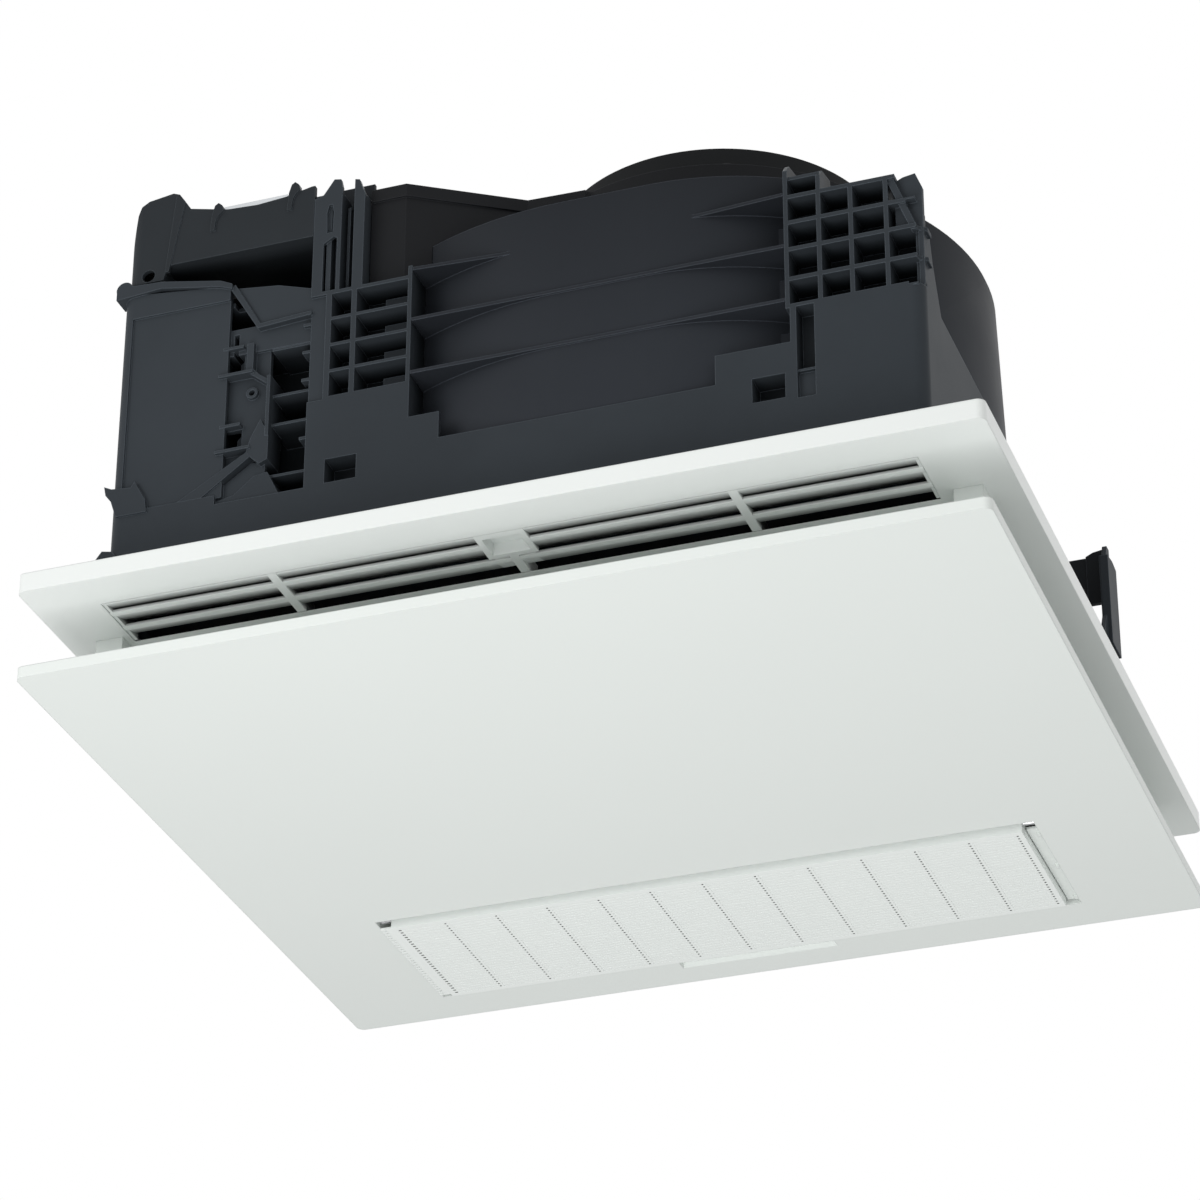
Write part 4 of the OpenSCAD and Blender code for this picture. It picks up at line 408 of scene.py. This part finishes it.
# %% Soft and small parts
def speckled(name, color, roughness, scale, slat_shade):
    """A dull material with a speckle of the given scale in its colour and bump: foam, rubber or board."""
    finish = Finish(name, color, roughness)
    spots = finish.noise(scale, 3.0, 0.6)
    patch = finish.ramp(spots, 0.35, 0.65)
    finish.set("Base Color", finish.mix(patch, shade(color, 0.8), shade(color, 1.15)))
    finish.set("Roughness", finish.ramp(spots, 0.3, 0.7, roughness - 0.06, min(1.0, roughness + 0.06)))
    return finish.bump(spots, 0.4, slat_shade, edge=0.0003).material


FOAM = speckled("dark_foam", (0.03, 0.03, 0.032), 0.9, 1200.0, 0.0006)
RUBBER = speckled("black_rubber", (0.018, 0.018, 0.019), 0.7, 700.0, 0.0001)
MICA = speckled("heater_moulding", (0.66, 0.62, 0.52), 0.55, 400.0, 0.0001)
BOARD = speckled("board_green", (0.03, 0.14, 0.06), 0.35, 500.0, 0.00005)
RELAY_BLUE = speckled("relay_blue", (0.02, 0.06, 0.24), 0.35, 500.0, 0.00005)
TAPE = speckled("yellow_tape", (0.7, 0.5, 0.08), 0.4, 300.0, 0.00005)
PALE = white_moulding("pale_moulding", (0.72, 0.73, 0.7), 0.45, 0.05)
NET = speckled("net_thread", (0.75, 0.78, 0.75), 0.6, 2500.0, 0.0001)

# %% [markdown]
# Every solid gets its finish by name. The CAD meshes stay as they are; only their material slot changes.

# %% Give every solid its finish
FINISH_OF = {
    "frame_panel": FRAME_WHITE, "outlet_grille": GRILLE_WHITE, "cover_panel": COVER_WHITE,
    "filter_grille": FILTER_WHITE, "filter_net": NET, "filter_pins": STEEL, "intake_seal": FOAM,
    "main_casing": CASING_DARK, "outlet_duct": CASING_DARK, "fan_deck": CASING_DARK,
    "bell_mouth": CASING_DARK,
    "scroll_casing": SCROLL_DARK, "exhaust_casing": UPPER_DARK, "duct_box": CASING_DARK,
    "control_box": CONTROL_DARK, "exhaust_dome": DOME_DARK, "dome_screws": BLACKENED,
    "circulation_impeller": FAN_DARK, "exhaust_impeller": FAN_DARK, "motor_can": ZINC,
    "motor_end_cap": ZINC, "stator": COPPER, "rotor": STEEL, "motor_shaft": STEEL, "bearings": STEEL,
    "motor_bracket": ZINC, "rubber_mounts": RUBBER, "motor_screws": STEEL, "motor_nuts": STEEL,
    "impeller_nuts": STEEL, "heater_frame": MICA, "heater_core": ALUMINIUM, "heater_terminals": BRASS,
    "thermal_fuse": STEEL, "thermostat": FAN_DARK, "duct_collar": ZINC, "duct_screws": STEEL,
    "backdraft_flap": ALUMINIUM, "flap_pin": STEEL, "vent_damper": FAN_DARK, "damper_motor": PALE,
    "control_lid": ZINC, "circuit_board": BOARD, "board_screws": STEEL, "transformer": TAPE,
    "relays": RELAY_BLUE, "capacitors": RUBBER, "terminal_block": PALE, "cord_gland": RUBBER,
    "room_sensor": PALE, "frame_screws": STEEL, "casing_screws": STEEL, "lid_screws": STEEL,
}
for name, solid in NODES.items():
    solid.data.materials.clear()
    solid.data.materials.append(FINISH_OF[name])
print("finishes given:", len(FINISH_OF))

# %% [markdown]
# ## Filter strands and painted shade at their ends
# The intake panel is a comb: between its rails lie some thirty fine bars, and a fleece strand fills each gap
# nearly flush, so the panel reads as one white face with faint lines. Each strand stops a millimetre before
# the next rail, and a small dark box fills that end of the gap: painted shade for the deep slit end, which
# shows as a dotted line. They could be an array modifier, but one numpy grid of boxes, rows by columns, is
# simpler to place and stays exact when the panel changes its size.

# %% Boxes in rows and columns, and the panel's measures
def box_grid(centres, half):
    """One small box per centre. Corner = centre + (+-half x, +-half y, +-half z)."""
    signs = np.array([[a, b, c] for a in (-1, 1) for b in (-1, 1) for c in (-1, 1)], dtype=float)
    corners = signs[None, :, :] * half[:, None, :]
    verts = (centres[:, None, :] + corners).reshape(-1, 3)
    quads = np.array([[0, 1, 3, 2], [4, 6, 7, 5], [0, 4, 5, 1], [2, 3, 7, 6], [0, 2, 6, 4], [1, 5, 7, 3]])
    faces = (np.arange(len(centres))[:, None, None] * 8 + quads[None]).reshape(-1, 4)
    return verts, faces


def new_piece(name, verts, faces, material, body):
    """A mesh object at the origin from whole arrays of corners and faces, riding on one body."""
    mesh = bpy.data.meshes.new(name)
    mesh.from_pydata((np.asarray(verts) * MM).tolist(), [], np.asarray(faces).tolist())
    mesh.materials.append(material)
    piece = bpy.data.objects.new(name, mesh)
    scene.collection.objects.link(piece)
    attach(piece, body)
    print(name, len(mesh.polygons), "faces")
    return piece


filter_low, filter_high = (np.array(corner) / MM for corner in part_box("filter_grille"))
PITCH_Y, PITCH_X, RIM, RAIL = 2.9, 28.0, 2.0, 1.4
SIDE_X = round(min(-filter_low[0], filter_high[0]), 3)
inner_x, inner_y0, inner_y1 = SIDE_X - RIM, filter_low[1] + RIM, filter_high[1] - RIM
rows = int((inner_y1 - inner_y0) // PITCH_Y)
row_y = (inner_y0 + inner_y1 - rows * PITCH_Y) / 2 + (np.arange(rows) + 0.5) * PITCH_Y
columns = math.ceil(2 * inner_x / PITCH_X)
rail_x = np.clip(-inner_x + PITCH_X * np.arange(columns + 1), -inner_x, inner_x)
print("filter from", filter_low.round(2), "to", filter_high.round(2), "rows", rows, "columns", columns)
print("rails at", rail_x.round(1))

# %% Strands in every gap, and painted shade boxes at their ends
STRAND_GAP, STRAND_HALF_Y, STRAND_LOW, STRAND_HIGH = 1.1, 0.61, 0.12, 1.9
FIRST_GAP, JOINT_GAP, SLIT_SHADE_RISE = 1.6, 0.1, 0.1


def gap_boxes(x0, x1, low):
    """Boxes for every row and column: x0..x1 per column, low..STRAND_HIGH over the panel's face."""
    column, row = (index.ravel() for index in np.meshgrid(np.arange(len(x0)), np.arange(rows)))
    middle = np.full(column.size, filter_low[2] + (low + STRAND_HIGH) / 2)
    centres = np.stack([(x0[column] + x1[column]) / 2, row_y[row], middle], axis=1)
    half = np.stack([(x1[column] - x0[column]) / 2, np.full(column.size, STRAND_HALF_Y),
                     np.full(column.size, (STRAND_HIGH - low) / 2)], axis=1)
    return box_grid(centres, half)


gap_x0, gap_x1 = rail_x[:-1] + RAIL / 2, rail_x[1:] - RAIL / 2
strand_x0 = gap_x0 + np.where(np.arange(columns) == 0, FIRST_GAP, JOINT_GAP)
strand_boxes = gap_boxes(strand_x0, gap_x1 - STRAND_GAP, STRAND_LOW)
strands = new_piece("filter_strands", *strand_boxes, FILTER_WHITE, "filter")
# Painted shade: a dark box at each strand's end stands for the shade in the deep end of its slit.
SLIT_SHADE_DARK = dark_moulding("slit_shade", (0.05, 0.052, 0.05), 0.7, edge=0.0002)
shade_x0 = np.append(gap_x1 - STRAND_GAP + JOINT_GAP / 2, gap_x0[0] + JOINT_GAP)
shade_x1 = np.append(gap_x1 - JOINT_GAP, strand_x0[0] - JOINT_GAP)
slit_shade_boxes = gap_boxes(shade_x0, shade_x1, STRAND_LOW + SLIT_SHADE_RISE)
slit_shade = new_piece("filter_slit_shade", *slit_shade_boxes, SLIT_SHADE_DARK, "filter")

# %% [markdown]
# ## Comb beside the filter
# A toothed strip runs along the panel's left side and covers the gap to the opening. On the real panel it is
# probably one moulding with the bars. An array modifier could repeat the tooth; here the grid function makes
# a narrow bar and one short tooth per row in one mesh.

# %% Comb along the panel's left side
COMB_INSET, COMB_Z, STRIP_X, TEETH_X = 1.5, 0.9, 1.65, 4.6
STRIP_HALF_X, STRIP_HALF_Z, TOOTH_HALF = 1.6, 0.65, (1.4, 0.85, 0.6)
comb_y = np.arange(filter_low[1] + COMB_INSET, filter_high[1] - COMB_INSET, PITCH_Y)
comb_z = filter_low[2] + COMB_Z
teeth = np.stack(np.broadcast_arrays(-SIDE_X - TEETH_X, comb_y, comb_z), axis=1)
strip = np.array([[-SIDE_X - STRIP_X, (comb_y[0] + comb_y[-1]) / 2, comb_z]])
strip_half = np.array([[STRIP_HALF_X, (comb_y[-1] - comb_y[0]) / 2 + TOOTH_HALF[1], STRIP_HALF_Z]])
comb_half = np.concatenate([np.tile(TOOTH_HALF, (comb_y.size, 1)), strip_half])
comb = new_piece("filter_comb", *box_grid(np.concatenate([teeth, strip]), comb_half), FILTER_WHITE, "filter")

# %% [markdown]
# ## Ledge beside the filter
# A pale ledge closes the gap at the panel's right side from behind, with small blocks on it. On the real
# cover it is probably one moulding with the panel. A loft could make it, but a few boxes from the same grid
# function are enough, because only its lower face and the blocks' near faces are seen.

# %% Ledge beside the filter
LEDGE_X0, LEDGE_X1, LEDGE_LOW, LEDGE_HIGH = SIDE_X + 0.45, SIDE_X + 6.8, 4.6, 6.1
BLOCK_COUNT, BLOCK_X, BLOCK_DROP, BLOCK_HALF = 3, LEDGE_X1 - 1.2, 0.6, (1.1, 1.5, 0.65)
LEDGE_START, LEDGE_END, BLOCK_START, BLOCK_END = 7.0, 2.5, 6.0, 3.0
ledge_y0, ledge_y1 = filter_low[1] + LEDGE_START, filter_high[1] + LEDGE_END
block_y = np.linspace(ledge_y0 + BLOCK_START, ledge_y1 - BLOCK_END, BLOCK_COUNT)
block_z = filter_low[2] + LEDGE_LOW - BLOCK_DROP
blocks = np.stack(np.broadcast_arrays(BLOCK_X, block_y, block_z), axis=1)
ledge_low = np.array([LEDGE_X0, ledge_y0, filter_low[2] + LEDGE_LOW])
ledge_high = np.array([LEDGE_X1, ledge_y1, filter_low[2] + LEDGE_HIGH])
ledge_centres = np.concatenate([[(ledge_low + ledge_high) / 2], blocks])
ledge_half = np.concatenate([[(ledge_high - ledge_low) / 2], np.tile(BLOCK_HALF, (BLOCK_COUNT, 1))])
ledge = new_piece("cover_ledge", *box_grid(ledge_centres, ledge_half), COVER_WHITE, "housing")

# %% [markdown]
# ## Ribs on the casing's hidden sides
# Large thin walls of a moulding bend when it cools, so the far wall and the deck carry low ribs. They are
# hidden in the photo and guessed; the right wall, which it shows, has none. Extruded profiles would do, but
# eight corners a rib from one formula give the draft that a mould needs.

# %% Ribs
def drafted_ribs(starts, ends, outward, foot, top):
    """Ribs between points: half width foot at the wall, top at the crest, crest = wall + outward."""
    along = (ends - starts) / np.linalg.norm(ends - starts, axis=1)[:, None]
    side = np.cross(outward / np.linalg.norm(outward, axis=1)[:, None], along)
    rows = [(starts, side * foot), (starts, -side * foot), (ends, side * foot), (ends, -side * foot),
            (starts + outward, side * top), (starts + outward, -side * top),
            (ends + outward, side * top), (ends + outward, -side * top)]
    verts = np.stack([base + shift for base, shift in rows], axis=1).reshape(-1, 3)
    quads = np.array([[0, 2, 3, 1], [4, 5, 7, 6], [0, 1, 5, 4], [2, 6, 7, 3], [0, 4, 6, 2], [1, 3, 7, 5]])
    faces = (np.arange(len(starts))[:, None, None] * 8 + quads[None]).reshape(-1, 4)
    return verts, faces


def rows_of(*columns):
    """Stacks columns to an array of points; single numbers are repeated to the longest column."""
    filled = np.broadcast_arrays(*(np.atleast_1d(np.asarray(c, dtype=float)) for c in columns))
    return np.stack(filled, axis=1)


FAR_Y, DECK_Z, WALL_FOOT, WALL_TOP, DECK_Y0, DECK_Y1 = 188.0, 78.5, 6.0, 70.0, 100.0, 183.0
WALL_RIB, DECK_RIB, FOOT_HALF, CREST_HALF = 1.6, 6.0, 0.9, 0.6
far_x, deck_x = np.linspace(-150, 150, 7), np.linspace(-60, 120, 4)
starts = np.concatenate([rows_of(far_x, FAR_Y, WALL_FOOT), rows_of(deck_x, DECK_Y0, DECK_Z)])
ends = np.concatenate([rows_of(far_x, FAR_Y, WALL_TOP), rows_of(deck_x, DECK_Y1, DECK_Z)])
outward = np.concatenate([rows_of(0.0 * far_x, WALL_RIB, 0.0), rows_of(0.0 * deck_x, 0.0, DECK_RIB)])
rib_boxes = drafted_ribs(starts, ends, outward, FOOT_HALF, CREST_HALF)
casing_ribs = new_piece("casing_ribs", *rib_boxes, CASING_DARK, "housing")

# %% [markdown]
# ## Damper motor
# The small geared motor that turns the damper is a closed moulding with two ears for its screws, a plug on
# its far face and a clip below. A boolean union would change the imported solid, so these are a piece of their
# own, set a tenth of a millimetre off its walls.

# %% Damper motor's ears and plug
EAR_OUT, EAR_IN, EAR_HALF = 2.4, 1.2, (2.3, 1.0, 4.5)
PLUG_OUT, PLUG_UP, PLUG_HALF = 1.6, 5.0, (6.0, 1.5, 2.5)
CLIP_IN, CLIP_DOWN, CLIP_HALF = 2.0, 1.3, (9.0, 4.0, 1.2)
motor_low, motor_high = (np.array(corner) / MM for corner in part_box("damper_motor"))
motor_mid = (motor_low + motor_high) / 2
ear_centres = np.array([[motor_low[0] - EAR_OUT, motor_low[1] + EAR_IN, motor_mid[2]],
                        [motor_high[0] + EAR_OUT, motor_low[1] + EAR_IN, motor_mid[2]],
                        [motor_mid[0], motor_high[1] + PLUG_OUT, motor_low[2] + PLUG_UP],
                        [motor_mid[0], motor_mid[1] + CLIP_IN, motor_low[2] - CLIP_DOWN]])
ear_half = np.array([EAR_HALF, EAR_HALF, PLUG_HALF, CLIP_HALF])
ears = new_piece("damper_motor_ears", *box_grid(ear_centres, ear_half), PALE, "housing")
